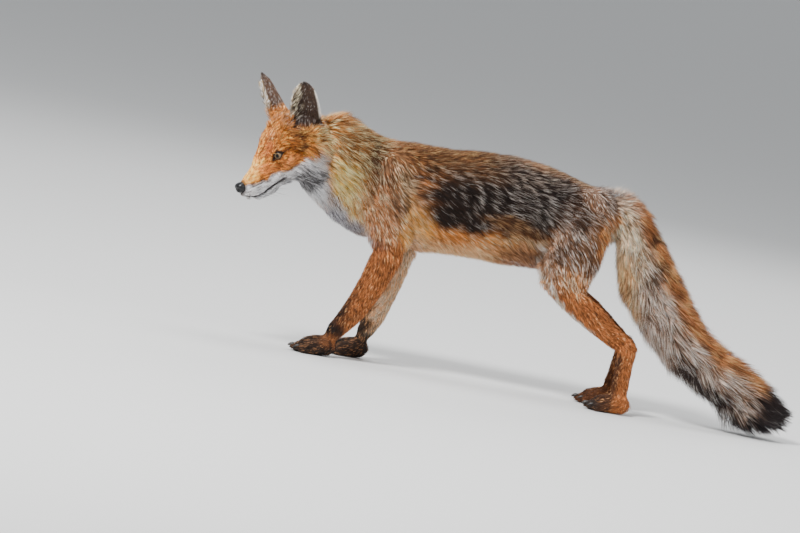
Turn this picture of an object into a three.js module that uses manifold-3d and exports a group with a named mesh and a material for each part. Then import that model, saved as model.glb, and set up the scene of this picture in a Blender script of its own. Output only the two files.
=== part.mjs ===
// A life-size red fox standing on four paws, its forelegs reaching forward and its head turned
// to its left. Millimetres, +Z up, the nose towards -X, the animal's left side towards -Y.
// Every solid gives the outline of the coat, out to the tips of the hair. The soles are flat at z = 0.
import * as THREE from "three";
import { mergeVertices } from "three/addons/utils/BufferGeometryUtils.js";
import Module from "manifold-3d";

const wasm = await Module();
wasm.setup();

// ---------- driving dimensions ----------

const GAP = 0.35; // clearance between neighbouring pieces
const LEFT = -1;
const RIGHT = 1;

// The head's own frame: origin midway between the eyes, nose towards -X, crown towards +Z.
const HEAD_AT = [-147, -56, 295];
const HEAD_TURN = 29; // degrees to the animal's left
const HEAD_DIP = 30; // degrees nose down
const HEAD_TILT = 4; // degrees crown to the right

const EYE_RADIUS = 9;
const EYE_AT = [0.6, 22, -0.5]; // the right eye's centre; the left eye has its y negated
const EYE_GAZE = [-0.7, 0.69, 0.18];
const LID_OPENING = 7; // radius of the round opening the lids leave
const NOSE_AT = [-68.5, 0, -30];
const NOSE_HALF = [8, 9, 8.5];
const MOUTH_FRONT = [-72, -48.5]; // the mouth line in the head's frame, as x and z
const MOUTH_CORNER = [-6, -42];

const EAR_HALF_WIDTH = 25;
const EAR_CUP = 19; // how deep the cup is at its base
const EAR_WALL = 4.5;

const TOE_RADIUS = 7.5;
const CLAW_LENGTH = 11;
const CLAW_RADIUS = 1.9;

const degrees = (angle) => (angle * Math.PI) / 180;

// ---------- lofts ----------

// A number or a point between stations, on a smooth curve through all of them.
function along(values, t) {
  const last = values.length - 1;
  const i = Math.min(Math.floor(t), last - 1);
  const f = t - i;
  const before = values[Math.max(i - 1, 0)];
  const a = values[i];
  const b = values[i + 1];
  const after = values[Math.min(i + 2, last)];
  const slopeA = (b - before) / (i > 0 ? 2 : 1);
  const slopeB = (after - a) / (i + 2 <= last ? 2 : 1);
  const square = f * f;
  const cube = square * f;
  return (
    (2 * cube - 3 * square + 1) * a +
    (cube - 2 * square + f) * slopeA +
    (3 * square - 2 * cube) * b +
    (cube - square) * slopeB
  );
}

// Where the rings of a loft lie: a dome over the first interval, even steps, a dome over the last.
function ringPlaces(last, steps, domeSteps) {
  const places = [];
  for (let j = 0; j <= domeSteps; j++) {
    const turn = (j / domeSteps) * (Math.PI / 2);
    places.push({ t: 1 - Math.cos(turn), swell: Math.sin(turn) });
  }
  for (let j = 1; j < steps; j++) {
    places.push({ t: 1 + ((last - 2) * j) / steps, swell: 1 });
  }
  for (let j = domeSteps; j >= 0; j--) {
    const turn = (j / domeSteps) * (Math.PI / 2);
    places.push({ t: last - 1 + Math.cos(turn), swell: Math.sin(turn) });
  }
  return places;
}

// A closed body through stations, each with its centre (at), half its width (wide) across the side
// axis and half its depth (deep). Its first and last stations are poles. square above 2 makes a
// section boxier, and keel above 0 makes it wider towards its upper side.
function loft(stations, { around = 20, steps = 8, dome = 3, side = [0, -1, 0], grow = 0 } = {}) {
  const last = stations.length - 1;
  const places = ringPlaces(last, steps, dome);
  const usual = { square: 2, keel: 0 };
  const read = (key, t) => along(stations.map((s) => s[key] ?? usual[key]), t);
  const coordinate = (k, t) => along(stations.map((s) => s.at[k]), t);
  const centre = (t) => new THREE.Vector3(coordinate(0, t), coordinate(1, t), coordinate(2, t));
  const tube = new THREE.CylinderGeometry(1, 1, 1, around, places.length - 1);
  const position = tube.getAttribute("position");
  const lateral = new THREE.Vector3(...side);
  for (let i = 0; i < position.count; i++) {
    const share = position.getY(i) + 0.5; // 1 at the first row of the cylinder
    const place = places[Math.round((1 - share) * (places.length - 1))];
    const low = Math.max(place.t - 0.05, 0);
    const high = Math.min(place.t + 0.05, last);
    const forward = centre(high).sub(centre(low)).normalize();
    const across = lateral.clone().addScaledVector(forward, -lateral.dot(forward)).normalize();
    const up = across.clone().cross(forward);
    const radius = Math.hypot(position.getX(i), position.getZ(i));
    const angle = Math.atan2(position.getZ(i), position.getX(i));
    const power = 2 / read("square", place.t);
    const c = Math.sign(Math.cos(angle)) * Math.abs(Math.cos(angle)) ** power;
    const s = Math.sign(Math.sin(angle)) * Math.abs(Math.sin(angle)) ** power;
    const wide = (read("wide", place.t) + grow) * place.swell * (1 + read("keel", place.t) * s);
    const deep = (read("deep", place.t) + grow) * place.swell;
    const spot = centre(place.t)
      .addScaledVector(across, -c * wide * radius)
      .addScaledVector(up, s * deep * radius);
    position.setXYZ(i, spot.x, spot.y, spot.z);
  }
  return tube;
}

// Stations from rows that give a section's top and bottom at each x.
function sideView(rows) {
  return rows.map(({ x, y = 0, top, bottom, half, ...rest }) => ({
    at: [x, y, (top + bottom) / 2],
    wide: half,
    deep: (top - bottom) / 2,
    ...rest,
  }));
}

// ---------- solids ----------

// A manifold-3d solid from a three.js geometry, for joining and cutting.
function solid(geometry) {
  const bare = geometry.index ? geometry.toNonIndexed() : geometry.clone();
  bare.deleteAttribute("normal");
  bare.deleteAttribute("uv");
  const merged = mergeVertices(bare, 1e-3);
  const mesh = new wasm.Mesh({
    numProp: 3,
    vertProperties: merged.getAttribute("position").array,
    triVerts: new Uint32Array(merged.index.array),
  });
  return new wasm.Manifold(mesh);
}

// The largest piece of a solid that a cut may have left in several.
function largest(body) {
  return body.decompose().sort((a, b) => b.volume() - a.volume())[0];
}

function geometryOf(body) {
  const mesh = body.getMesh();
  const geometry = new THREE.BufferGeometry();
  geometry.setAttribute("position", new THREE.BufferAttribute(mesh.vertProperties, 3));
  geometry.setIndex(new THREE.BufferAttribute(mesh.triVerts, 1));
  geometry.computeVertexNormals();
  return geometry;
}

function unite(bodies) {
  return bodies.reduce((sum, body) => sum.add(body));
}

function cutBy(body, cutters) {
  return largest(cutters.reduce((left, cutter) => left.subtract(cutter), body));
}

function ellipsoid(centre, half, grow = 0, segments = 10, rings = 8) {
  return new THREE.SphereGeometry(1, segments, rings)
    .scale(half[0] + grow, half[1] + grow, half[2] + grow)
    .translate(...centre);
}

// A block from x, y, z ranges.
function block([x0, x1], [y0, y1], [z0, z1]) {
  const middle = [(x0 + x1) / 2, (y0 + y1) / 2, (z0 + z1) / 2];
  return new THREE.BoxGeometry(x1 - x0, y1 - y0, z1 - z0).translate(...middle);
}

const belowFloor = solid(block([-400, 900], [-300, 300], [-80, 0]));

// ---------- trunk, neck and tail ----------

const TRUNK = sideView([
  { x: -14, top: 298, bottom: 205, half: 44 },
  { x: 14, top: 340, bottom: 187, half: 56, keel: -0.05 },
  { x: 50, top: 351, bottom: 186, half: 62, keel: 0.05 },
  { x: 90, top: 351, bottom: 192, half: 63, keel: 0.08 },
  { x: 135, top: 354, bottom: 197, half: 63, keel: 0.05 },
  { x: 185, top: 361, bottom: 198, half: 61 },
  { x: 235, top: 361, bottom: 198, half: 57 },
  { x: 285, top: 355, bottom: 196, half: 54, keel: 0.05 },
  { x: 335, top: 345, bottom: 215, half: 52, keel: 0.1 },
  { x: 375, top: 337, bottom: 248, half: 45, keel: 0.1 },
  { x: 412, top: 320, bottom: 285, half: 36 },
]);

const NECK = [
  { at: [-112, -38, 320], wide: 46, deep: 56 },
  { at: [-84, -28, 312], wide: 51, deep: 62, square: 2.1 },
  { at: [-48, -15, 297], wide: 56, deep: 69, square: 2.1 },
  { at: [-10, -5, 279], wide: 59, deep: 77, square: 2.1 },
  { at: [28, 0, 267], wide: 60, deep: 80 },
  { at: [60, 0, 262], wide: 56, deep: 76 },
];

const TAIL = [
  { at: [372, 0, 322], wide: 26, deep: 26 },
  { at: [396, 0, 308], wide: 29, deep: 29 },
  { at: [421, 1, 280], wide: 33, deep: 33 },
  { at: [441, 2, 246], wide: 38, deep: 39 },
  { at: [463, 4, 208], wide: 41, deep: 42 },
  { at: [493, 6, 170], wide: 41, deep: 41 },
  { at: [526, 9, 135], wide: 41, deep: 41 },
  { at: [565, 12, 106], wide: 42, deep: 42 },
  { at: [604, 15, 82], wide: 42, deep: 44 },
  { at: [643, 17, 64], wide: 37, deep: 39 },
  { at: [679, 18, 52], wide: 27, deep: 28 },
  { at: [712, 19, 44], wide: 15, deep: 15 },
];
const TAIL_NAMES = ["tail_base", "tail_middle", "tail_tip"];
const TAIL_CUTS = [300, 470, 590, 800]; // where each length of the tail starts and ends, along X

// ---------- legs ----------

const SHOULDER = (side) => [
  { at: [52, side * 34, 342], wide: 16, deep: 34 },
  { at: [48, side * 43, 310], wide: 20, deep: 40 },
  { at: [38, side * 47, 268], wide: 22, deep: 42 },
  { at: [side < 0 ? 44 : 52, side * 47, 226], wide: 22, deep: 40 },
  { at: [side < 0 ? 55 : 68, side * 45, 196], wide: 20, deep: 32 },
  { at: [side < 0 ? 60 : 74, side * 43, 168], wide: 16, deep: 26 },
];

const FOREARM = {
  [LEFT]: [
    { at: [62, -44, 204], wide: 17, deep: 26 },
    { at: [56, -43, 176], wide: 18.5, deep: 27 },
    { at: [48, -41, 142], wide: 17, deep: 24.5 },
    { at: [35, -39, 106], wide: 15, deep: 21.5 },
    { at: [19, -37, 71], wide: 14, deep: 19 },
    { at: [5, -35, 43], wide: 14.5, deep: 18 },
    { at: [-3, -35, 22], wide: 12.5, deep: 14 },
  ],
  [RIGHT]: [
    { at: [77, 44, 200], wide: 17, deep: 26 },
    { at: [74, 43, 172], wide: 18.5, deep: 26 },
    { at: [69, 41, 138], wide: 17, deep: 23.5 },
    { at: [62, 39, 104], wide: 15, deep: 20.5 },
    { at: [55, 37, 71], wide: 14, deep: 18.5 },
    { at: [49, 35, 43], wide: 14.5, deep: 18 },
    { at: [41, 35, 22], wide: 12.5, deep: 14 },
  ],
};

const THIGH = (side) => [
  { at: [356, side * 27, 341], wide: 18, deep: 34 },
  { at: [352, side * 34, 306], wide: 23, deep: 42 },
  { at: [344, side * 40, 262], wide: 26, deep: 47 },
  { at: [339, side * 43, 218], wide: 24, deep: 47 },
  { at: [340, side * 44, 190], wide: 21, deep: 38 },
  { at: [343, side * 43, 158], wide: 16, deep: 30 },
];

const SHANK = (side) => [
  { at: [304, side * 44, 205], wide: 17, deep: 26 },
  { at: [326, side * 44, 187], wide: 20, deep: 29 },
  { at: [360, side * 42, 158], wide: 17.5, deep: 25 },
  { at: [398, side * 40, 133], wide: 14.5, deep: 20.5 },
  { at: [430, side * 38, 114], wide: 12.5, deep: 18 },
  { at: [455, side * 37, 98], wide: 11.5, deep: 15 },
];

// A hind foot's upright part, with its hock at the top.
const HIND_CANNON = (side, lead) => [
  { at: [450, side * 37, 124], wide: 11, deep: 13 },
  { at: [448, side * 37, 108], wide: 12.5, deep: 16.5 },
  { at: [450 - lead / 3, side * 36.5, 72], wide: 12, deep: 15.5 },
  { at: [450 - lead * 0.7, side * 36, 38], wide: 13, deep: 16 },
  { at: [446 - lead, side * 36, 14], wide: 13.5, deep: 15 },
];

// Each paw by where its toes end and how far back its heel is.
const PAWS = [
  { name: "left_forepaw", side: LEFT, toes: -65, y: -35, length: 79, half: 21, rise: 17 },
  { name: "right_forepaw", side: RIGHT, toes: -13, y: 35, length: 76, half: 21, rise: 17 },
  { name: "left_hind_foot", side: LEFT, toes: 399, y: -37, length: 70, half: 19, rise: 16, lead: 0 },
  { name: "right_hind_foot", side: RIGHT, toes: 384, y: 37, length: 70, half: 19, rise: 16, lead: 15 },
];
const TOE_SPREAD = [-0.72, -0.25, 0.25, 0.72]; // across a paw, as shares of half its width
const TOE_REACH = [9, 0, 0, 9]; // how far each toe stops short of the longest

function pawBody({ toes, y, length, half, rise }) {
  return [
    { at: [toes + length + 6, y, rise * 0.9], wide: half * 0.55, deep: rise * 0.8 },
    { at: [toes + length - 8, y, rise], wide: half * 0.75, deep: rise },
    { at: [toes + length * 0.55, y, rise * 0.88], wide: half * 0.92, deep: rise, square: 2.4 },
    { at: [toes + length * 0.3, y, rise * 0.66], wide: half * 0.88, deep: rise * 0.76, square: 2.4 },
    { at: [toes + 7, y, rise * 0.5], wide: half * 0.7, deep: rise * 0.5 },
  ];
}

function toe({ toes, y, half }, index) {
  const tip = toes + TOE_REACH[index];
  const across = y + TOE_SPREAD[index] * half;
  return [
    { at: [tip + 40, across, TOE_RADIUS + 4], wide: TOE_RADIUS - 1, deep: TOE_RADIUS },
    { at: [tip + 26, across, TOE_RADIUS + 1.5], wide: TOE_RADIUS - 1, deep: TOE_RADIUS + 2 },
    { at: [tip + 10, across, TOE_RADIUS - 1.8], wide: TOE_RADIUS - 1, deep: TOE_RADIUS + 0.4 },
    { at: [tip, across, TOE_RADIUS - 2.5], wide: TOE_RADIUS - 1.5, deep: TOE_RADIUS - 1 },
  ];
}

function claw({ toes, y, half }, index) {
  const tip = toes + TOE_REACH[index];
  const across = y + TOE_SPREAD[index] * half;
  return [
    { at: [tip + 7, across, 9.5], wide: CLAW_RADIUS, deep: CLAW_RADIUS + 0.6 },
    { at: [tip + 2, across, 9.5], wide: CLAW_RADIUS, deep: CLAW_RADIUS + 0.6 },
    { at: [tip - 2, across, 8], wide: CLAW_RADIUS * 0.8, deep: CLAW_RADIUS },
    { at: [tip + 7 - CLAW_LENGTH - 3, across, 4], wide: 0.7, deep: 0.9 },
  ];
}

// ---------- head ----------

const HEAD = sideView([
  { x: -72, top: -25, bottom: -43, half: 7 },
  { x: -64, top: -21.5, bottom: -50, half: 11.5, square: 2.3 },
  { x: -52, top: -15, bottom: -54.5, half: 14.5, square: 2.3 },
  { x: -38, top: -8, bottom: -57, half: 17.5, square: 2.2 },
  { x: -24, top: 1, bottom: -57, half: 21.5, square: 2.1 },
  { x: -12, top: 13, bottom: -56, half: 27, keel: 0.05 },
  { x: 2, top: 29, bottom: -58, half: 35, keel: 0.05 },
  { x: 19, top: 43, bottom: -63, half: 45 },
  { x: 38, top: 51, bottom: -69, half: 55, keel: -0.05 },
  { x: 58, top: 51, bottom: -72, half: 58, keel: -0.05 },
  { x: 78, top: 43, bottom: -66, half: 51 },
  { x: 102, top: 20, bottom: -36, half: 38 },
]);

const EARS = {
  [LEFT]: { base: [48, -36, 22], tip: [67, -48, 97], opening: [-0.5, -0.87, 0] },
  [RIGHT]: { base: [38, 32, 24], tip: [46, 55, 112], opening: [-0.66, 0.75, 0] },
};

// An ear is a cupped leaf: a crescent section that narrows to the tip. Its first and last rows
// have no thickness, which closes it.
function ear(side, grow = 0) {
  const { base, tip, opening } = EARS[side];
  const rows = 8;
  const arc = 7; // points along each face of the crescent
  const foot = new THREE.Vector3(...base);
  const rise = new THREE.Vector3(...tip).sub(foot);
  const height = rise.length();
  const up = rise.normalize();
  const open = new THREE.Vector3(...opening);
  open.addScaledVector(up, -up.dot(open)).normalize();
  const across = open.clone().cross(up);
  const tube = new THREE.CylinderGeometry(1, 1, 1, 2 * arc, rows, true);
  const position = tube.getAttribute("position");
  for (let i = 0; i < position.count; i++) {
    const row = Math.round((position.getY(i) + 0.5) * rows);
    const share = Math.min(Math.max((row - 1) / (rows - 2), 0), 1); // 0 at the base, 1 at the tip
    const closed = row === 0 || row === rows;
    const margin = closed ? 0 : grow;
    const leaf = Math.sqrt(Math.max(1 - share ** 2.2, 0.008)) * (1 - 0.25 * share ** 4);
    const half = EAR_HALF_WIDTH * leaf;
    const cup = EAR_CUP * (1 - 0.62 * share) * Math.sqrt(Math.max(1 - share ** 3, 0.01));
    const wall = closed ? 0 : Math.min(EAR_WALL * (1 - 0.3 * share), half * 0.8, cup * 0.8);
    const angle = Math.atan2(position.getX(i), position.getZ(i));
    const step = Math.round((angle / (2 * Math.PI)) * 2 * arc + 2 * arc) % (2 * arc);
    const inner = step >= arc;
    const turn = ((inner ? 2 * arc - 1 - step : step) / (arc - 1) - 0.5) * Math.PI;
    const a = (inner ? half - wall * 0.7 - margin : half + margin) * Math.sin(turn);
    const b = inner ? margin - (cup - wall) * Math.cos(turn) : -cup * Math.cos(turn) - wall * 0.15 - margin;
    const rim = closed ? Math.sign(share - 0.5) * (1.5 + 3 * grow) : 0;
    const spot = foot
      .clone()
      .addScaledVector(up, share * height + rim)
      .addScaledVector(across, a)
      .addScaledVector(open, b);
    position.setXYZ(i, spot.x, spot.y, spot.z);
  }
  return tube;
}

// The space under the mouth line and ahead of the mouth's corner, which the lower jaw takes.
function jawSpace(grow = 0) {
  const [x0, z0] = MOUTH_FRONT;
  const [x1, z1] = MOUTH_CORNER;
  const shape = new THREE.Shape([
    new THREE.Vector2(x0 - 20, z0 - (20 * (z1 - z0)) / (x1 - x0) + grow),
    new THREE.Vector2(x1 + grow, z1 + grow),
    new THREE.Vector2(x1 + 26 + grow, z0 - 60),
    new THREE.Vector2(x0 - 20, z0 - 60),
  ]);
  const width = 90;
  return new THREE.ExtrudeGeometry(shape, { depth: width, bevelEnabled: false })
    .rotateX(Math.PI / 2)
    .translate(0, width / 2, 0);
}

// ---------- materials ----------

const finish = (color, roughness) => new THREE.MeshStandardMaterial({ color, roughness, metalness: 0 });
const RED_COAT = finish(0xb5642a, 0.85);
const GRIZZLED_COAT = finish(0x6d5038, 0.85);
const BLACK_COAT = finish(0x2a201b, 0.8);
const WHITE_COAT = finish(0xd9d2c8, 0.85);
const EYE = finish(0x9a7d3c, 0.1);
const NOSE = finish(0x16161a, 0.4);
const CLAW = finish(0x2b2622, 0.5);

// ---------- assembly ----------

const fox = new THREE.Group();
const body = new THREE.Group();
const head = new THREE.Group();
head.position.set(...HEAD_AT);
head.rotation.set(degrees(-HEAD_TILT), degrees(-HEAD_DIP), degrees(HEAD_TURN), "ZYX");
head.updateMatrix();
body.add(head);
fox.add(body);

function place(group, name, made, material) {
  const mesh = new THREE.Mesh(geometryOf(made), material);
  mesh.name = name;
  group.add(mesh);
  return mesh;
}

// Moves a solid out of the head's frame into the body's.
function fromHead(body) {
  return body.transform(head.matrix.toArray());
}

// The same loft twice: as it is, and grown by the gap, for cutting its neighbours.
function pair(stations, options = {}) {
  return {
    made: solid(loft(stations, options)),
    grown: solid(loft(stations, { ...options, grow: GAP })),
  };
}

const headShape = pair(HEAD, { around: 20, steps: 11, dome: 2 });
const neck = pair(NECK, { around: 16, steps: 5, dome: 2 });
const trunk = pair(TRUNK, { around: 17, steps: 9, dome: 2 });
const tail = pair(TAIL, { around: 14, steps: 15, dome: 3 });

// The head's pieces, cut in the head's own frame.
const eyes = [LEFT, RIGHT].map((side) => {
  const mirrored = ([x, y, z]) => [x, side * y, z];
  const front = EYE_AT.map((value, k) => value + EYE_GAZE[k] * (EYE_RADIUS + 1));
  const ball = (grow) => solid(ellipsoid(mirrored(EYE_AT), [EYE_RADIUS, EYE_RADIUS, EYE_RADIUS], grow));
  const lids = solid(ellipsoid(mirrored(front), [LID_OPENING, LID_OPENING, LID_OPENING]));
  return {
    name: side === LEFT ? "left_eye" : "right_eye",
    made: ball(0),
    grown: ball(GAP).add(lids),
  };
});
const nose = {
  made: solid(ellipsoid(NOSE_AT, NOSE_HALF)),
  grown: solid(ellipsoid(NOSE_AT, NOSE_HALF, GAP)),
};
const ears = [LEFT, RIGHT].map((side) => ({
  name: side === LEFT ? "left_ear" : "right_ear",
  made: solid(ear(side)).subtract(headShape.grown),
  grown: solid(ear(side, GAP)),
}));
const jaw = headShape.made.intersect(solid(jawSpace()));
const inset = [...eyes, nose].map((piece) => piece.grown);

place(head, "head", cutBy(headShape.made, [solid(jawSpace(GAP)), ...inset]), RED_COAT);
place(head, "lower_jaw", cutBy(jaw, [nose.grown]), WHITE_COAT);
place(head, "nose", nose.made, NOSE);
for (const { name, made } of eyes) place(head, name, made, EYE);
for (const { name, made } of ears) place(head, name, largest(made), BLACK_COAT);

// The legs' upper parts are set into the trunk, and each lower part into the one above it.
const limbs = [LEFT, RIGHT].map((side) => ({
  prefix: side === LEFT ? "left" : "right",
  shoulder: pair(SHOULDER(side), { around: 12, steps: 4, dome: 2 }),
  forearm: pair(FOREARM[side], { around: 10, steps: 6, dome: 2 }),
  thigh: pair(THIGH(side), { around: 12, steps: 4, dome: 2 }),
  shank: pair(SHANK(side), { around: 10, steps: 5, dome: 2 }),
}));

const paws = PAWS.map((paw) => {
  const cannon = paw.lead === undefined ? [] : [HIND_CANNON(paw.side, paw.lead)];
  const toes = TOE_SPREAD.map((_, index) => toe(paw, index));
  const shapes = (grow) => [
    solid(loft(pawBody(paw), { around: 10, steps: 3, dome: 1, grow })),
    ...cannon.map((stations) => solid(loft(stations, { around: 8, steps: 3, dome: 1, grow }))),
    ...toes.map((stations) => solid(loft(stations, { around: 6, steps: 2, dome: 1, grow }))),
  ];
  return {
    ...paw,
    made: unite(shapes(0)).subtract(belowFloor),
    grown: unite(shapes(GAP)),
    claws: toes.map((_, index) => pair(claw(paw, index), { around: 4, steps: 2, dome: 1 })),
  };
});
const pawOf = (prefix, kind) => paws.find((paw) => paw.name === prefix + "_" + kind);

const neckCutters = [fromHead(headShape.grown), ...ears.map((e) => fromHead(e.grown))];
const shoulders = limbs.map((limb) => limb.shoulder.grown);
const legs = limbs.flatMap(({ forearm, thigh, shank }) => [forearm.grown, thigh.grown, shank.grown]);
const setIn = [...neckCutters, ...shoulders, ...legs, neck.grown, tail.grown];
place(body, "neck", cutBy(neck.made, [...neckCutters, ...shoulders]), RED_COAT);
place(body, "trunk", cutBy(trunk.made, setIn), GRIZZLED_COAT);

TAIL_NAMES.forEach((name, index) => {
  const slice = solid(block([TAIL_CUTS[index] + GAP, TAIL_CUTS[index + 1]], [-120, 120], [-50, 420]));
  place(body, name, largest(tail.made.intersect(slice)), GRIZZLED_COAT);
});

for (const limb of limbs) {
  const { prefix } = limb;
  const forepaw = pawOf(prefix, "forepaw");
  const hindFoot = pawOf(prefix, "hind_foot");
  place(body, prefix + "_shoulder", cutBy(limb.shoulder.made, [limb.forearm.grown]), RED_COAT);
  place(body, prefix + "_forearm", cutBy(limb.forearm.made, [forepaw.grown]), RED_COAT);
  place(body, prefix + "_thigh", cutBy(limb.thigh.made, [limb.shank.grown, tail.grown]), RED_COAT);
  place(body, prefix + "_shank", cutBy(limb.shank.made, [hindFoot.grown]), RED_COAT);
}
for (const paw of paws) {
  place(body, paw.name, cutBy(paw.made, paw.claws.map((c) => c.grown)), BLACK_COAT);
  paw.claws.forEach((c, index) => place(body, paw.name + "_claw_" + (index + 1), c.made, CLAW));
}

// The origin is on the floor under the middle of the whole animal.
body.updateMatrixWorld(true);
const extent = new THREE.Box3().setFromObject(body, true);
const middle = extent.getCenter(new THREE.Vector3());
body.position.set(-middle.x, -middle.y, 0);

export default fox;
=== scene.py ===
"""A standing red fox at life size: skin, coat, eyes, nose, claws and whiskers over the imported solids."""

import math

import bmesh
import bpy
import numpy as np
from mathutils import Matrix, Vector, kdtree


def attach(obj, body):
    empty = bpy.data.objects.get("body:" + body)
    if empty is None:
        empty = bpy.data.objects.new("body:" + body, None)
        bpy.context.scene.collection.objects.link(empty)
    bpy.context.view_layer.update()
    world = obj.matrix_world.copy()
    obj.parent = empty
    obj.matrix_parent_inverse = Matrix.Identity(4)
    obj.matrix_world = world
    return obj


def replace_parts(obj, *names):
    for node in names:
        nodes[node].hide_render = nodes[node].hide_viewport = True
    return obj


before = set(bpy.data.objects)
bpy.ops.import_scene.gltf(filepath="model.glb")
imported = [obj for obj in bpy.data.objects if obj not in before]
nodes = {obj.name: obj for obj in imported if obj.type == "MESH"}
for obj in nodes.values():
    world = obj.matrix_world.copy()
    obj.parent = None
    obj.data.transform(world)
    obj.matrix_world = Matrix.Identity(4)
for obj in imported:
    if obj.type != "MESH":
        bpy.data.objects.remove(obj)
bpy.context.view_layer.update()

# ---------------------------------------------------------------- places
# Lengths in this script are millimetres in the modelling frame: x from nose to tail, y to the animal's
# right, z up from the soles. The head has a frame of its own, nose towards -x.
MIDDLE = np.array([-259.479, 9.413, 0.0])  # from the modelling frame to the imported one
HEAD_AT = np.array([-147.0, -56.0, 295.0])
HEAD_TURN = np.array(
    Matrix.Rotation(math.radians(29), 3, "Z")
    @ Matrix.Rotation(math.radians(-30), 3, "Y")
    @ Matrix.Rotation(math.radians(-4), 3, "X")
)
SIDES = (-1, 1)  # the left of the animal, then the right
EYE_RADIUS = 9.0
EYE_AT = {s: np.array((0.6, 22 * s, -0.5)) for s in SIDES}
EYE_GAZE = {s: (-0.7, 0.69 * s, 0.18) for s in SIDES}
EYE_LONG = {s: (0.72, 0.68 * s, 0.2) for s in SIDES}
NOSE_AT = np.array((-68.5, 0, -30))
NOSE_HALF = np.array((8, 9, 8.5))
MOUTH = [  # where the lips meet, seen from the side of the head
    (-67, -43.5), (-58, -48.8), (-50, -50.2), (-38, -47.8),
    (-27, -43.8), (-15, -41.2), (-7, -40.8), (-1, -40.2),
]
EARS = {
    -1: {"base": (48, -36, 22), "tip": (67, -48, 97), "opening": (-0.5, -0.87, 0)},
    1: {"base": (38, 32, 24), "tip": (46, 55, 112), "opening": (-0.66, 0.75, 0)},
}
EAR_HALF_WIDTH = 25.0
TOES = [(-65, -35, 21), (-13, 35, 21), (399, -37, 19), (384, 37, 19)]  # where they end, middle, half width
TOE_GAPS = (-0.485, 0.0, 0.485)  # between the toes, in half widths


def unit(v):
    v = np.asarray(v, float)
    return v / np.maximum(np.linalg.norm(v, axis=-1, keepdims=True), 1e-9)


def from_head(p):
    return np.asarray(p, float) @ HEAD_TURN.T + HEAD_AT


def in_head(p):
    return (np.asarray(p, float) - HEAD_AT) @ HEAD_TURN


def turned_from_head(v):
    return np.asarray(v, float) @ HEAD_TURN.T


def to_scene(p):
    return (np.asarray(p, float) + MIDDLE) * 0.001


def from_scene(p):
    return np.asarray(p, float) * 1000.0 - MIDDLE


def step(x, low, high):
    """0 at low, 1 at high, with a soft start and end."""
    t = np.clip((x - low) / (high - low), 0.0, 1.0)
    return t * t * (3 - 2 * t)


def waves(p, size, seed, along=None):
    """A smooth random value, about -1 to 1, that changes over about `size` mm, more slowly along `along`."""
    rng = np.random.default_rng(seed)
    total = np.zeros(len(p))
    for _ in range(5):
        k = unit(rng.normal(size=3)) * 2 * math.pi / (size * rng.uniform(1.4, 3.2))
        if along is not None:
            k = k - along * (k @ along) * 0.75
        total += np.sin(p @ k + rng.uniform(0, 2 * math.pi))
    return total / 2.6


def to_line(p, a, b):
    """Distance from places p to the line from a to b, and the share along it."""
    a, b = np.asarray(a, float), np.asarray(b, float)
    along = b - a
    share = np.clip((p - a) @ along / max(along @ along, 1e-9), 0, 1)
    return length(p - a - share[:, None] * along), share


def length(v):
    return np.linalg.norm(v, axis=1)


def away(p, spot):
    """Distance from places p to one spot."""
    return length(p - np.array(spot))


def bell(x, width):
    """1 at 0, fading out to both sides."""
    return np.exp(-((x / width) ** 2))


def mound(p, spot, sizes):
    """1 at a spot, fading out over these half sizes."""
    return bell(length((p - np.array(spot)) / np.array(sizes)), 1.0)


def oval(x, z, cx, cz, rx, rz, turn=0.0, edge=0.35):
    """1 inside an oval of the side view, 0 outside it, with a soft edge."""
    c, s = math.cos(math.radians(turn)), math.sin(math.radians(turn))
    u = ((x - cx) * c + (z - cz) * s) / rx
    v = (-(x - cx) * s + (z - cz) * c) / rz
    return step(np.hypot(u, v), 1 + edge, 1 - edge)


def eye_axes(side):
    """The eye's long, upward and outward directions in the head's frame."""
    out = unit(EYE_GAZE[side])
    long = np.array(EYE_LONG[side], float)
    long = unit(long - out * (long @ out))
    up = np.cross(out, long)
    return long, up if up[2] > 0 else -up, out


def mouth_distance(q):
    """How far head places q are from the line where the lips meet, seen from the side."""
    flat = np.stack([q[:, 0], q[:, 2], np.zeros(len(q))], 1)
    return np.min([to_line(flat, (*a, 0), (*b, 0))[0] for a, b in zip(MOUTH, MOUTH[1:])], axis=0)


def ear_place(p, side):
    """For head places p: share up the ear, rear (-1) to front (+1), how far towards the opening; and its axes."""
    ear = EARS[side]
    foot = np.array(ear["base"], float)
    rise = np.array(ear["tip"], float) - foot
    height = np.linalg.norm(rise)
    up = rise / height
    opening = np.array(ear["opening"], float)
    opening = unit(opening - up * (up @ opening))
    front = np.array([-1.0, 0, 0.0])
    front = front - up * (up @ front)
    front = unit(front - opening * (opening @ front))
    q = p - foot
    share = q @ up / height
    half = EAR_HALF_WIDTH * np.sqrt(np.clip(1 - np.clip(share, 0, 1) ** 2.2, 0.02, 1))
    return share, q @ front / half, q @ opening, up, front, opening


def ear_zone(q):
    """1 on the two ears, 0 on the rest of the head, for head places q."""
    zone = np.zeros(len(q))
    for s in SIDES:
        share, front, out, *_ = ear_place(q, s)
        across = step(np.abs(front), 1.6, 1.4) * step(out, -27, -22) * step(out, 14, 10)
        zone = np.maximum(zone, step(share, 0.0, 0.12) * across)
    return zone


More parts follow.
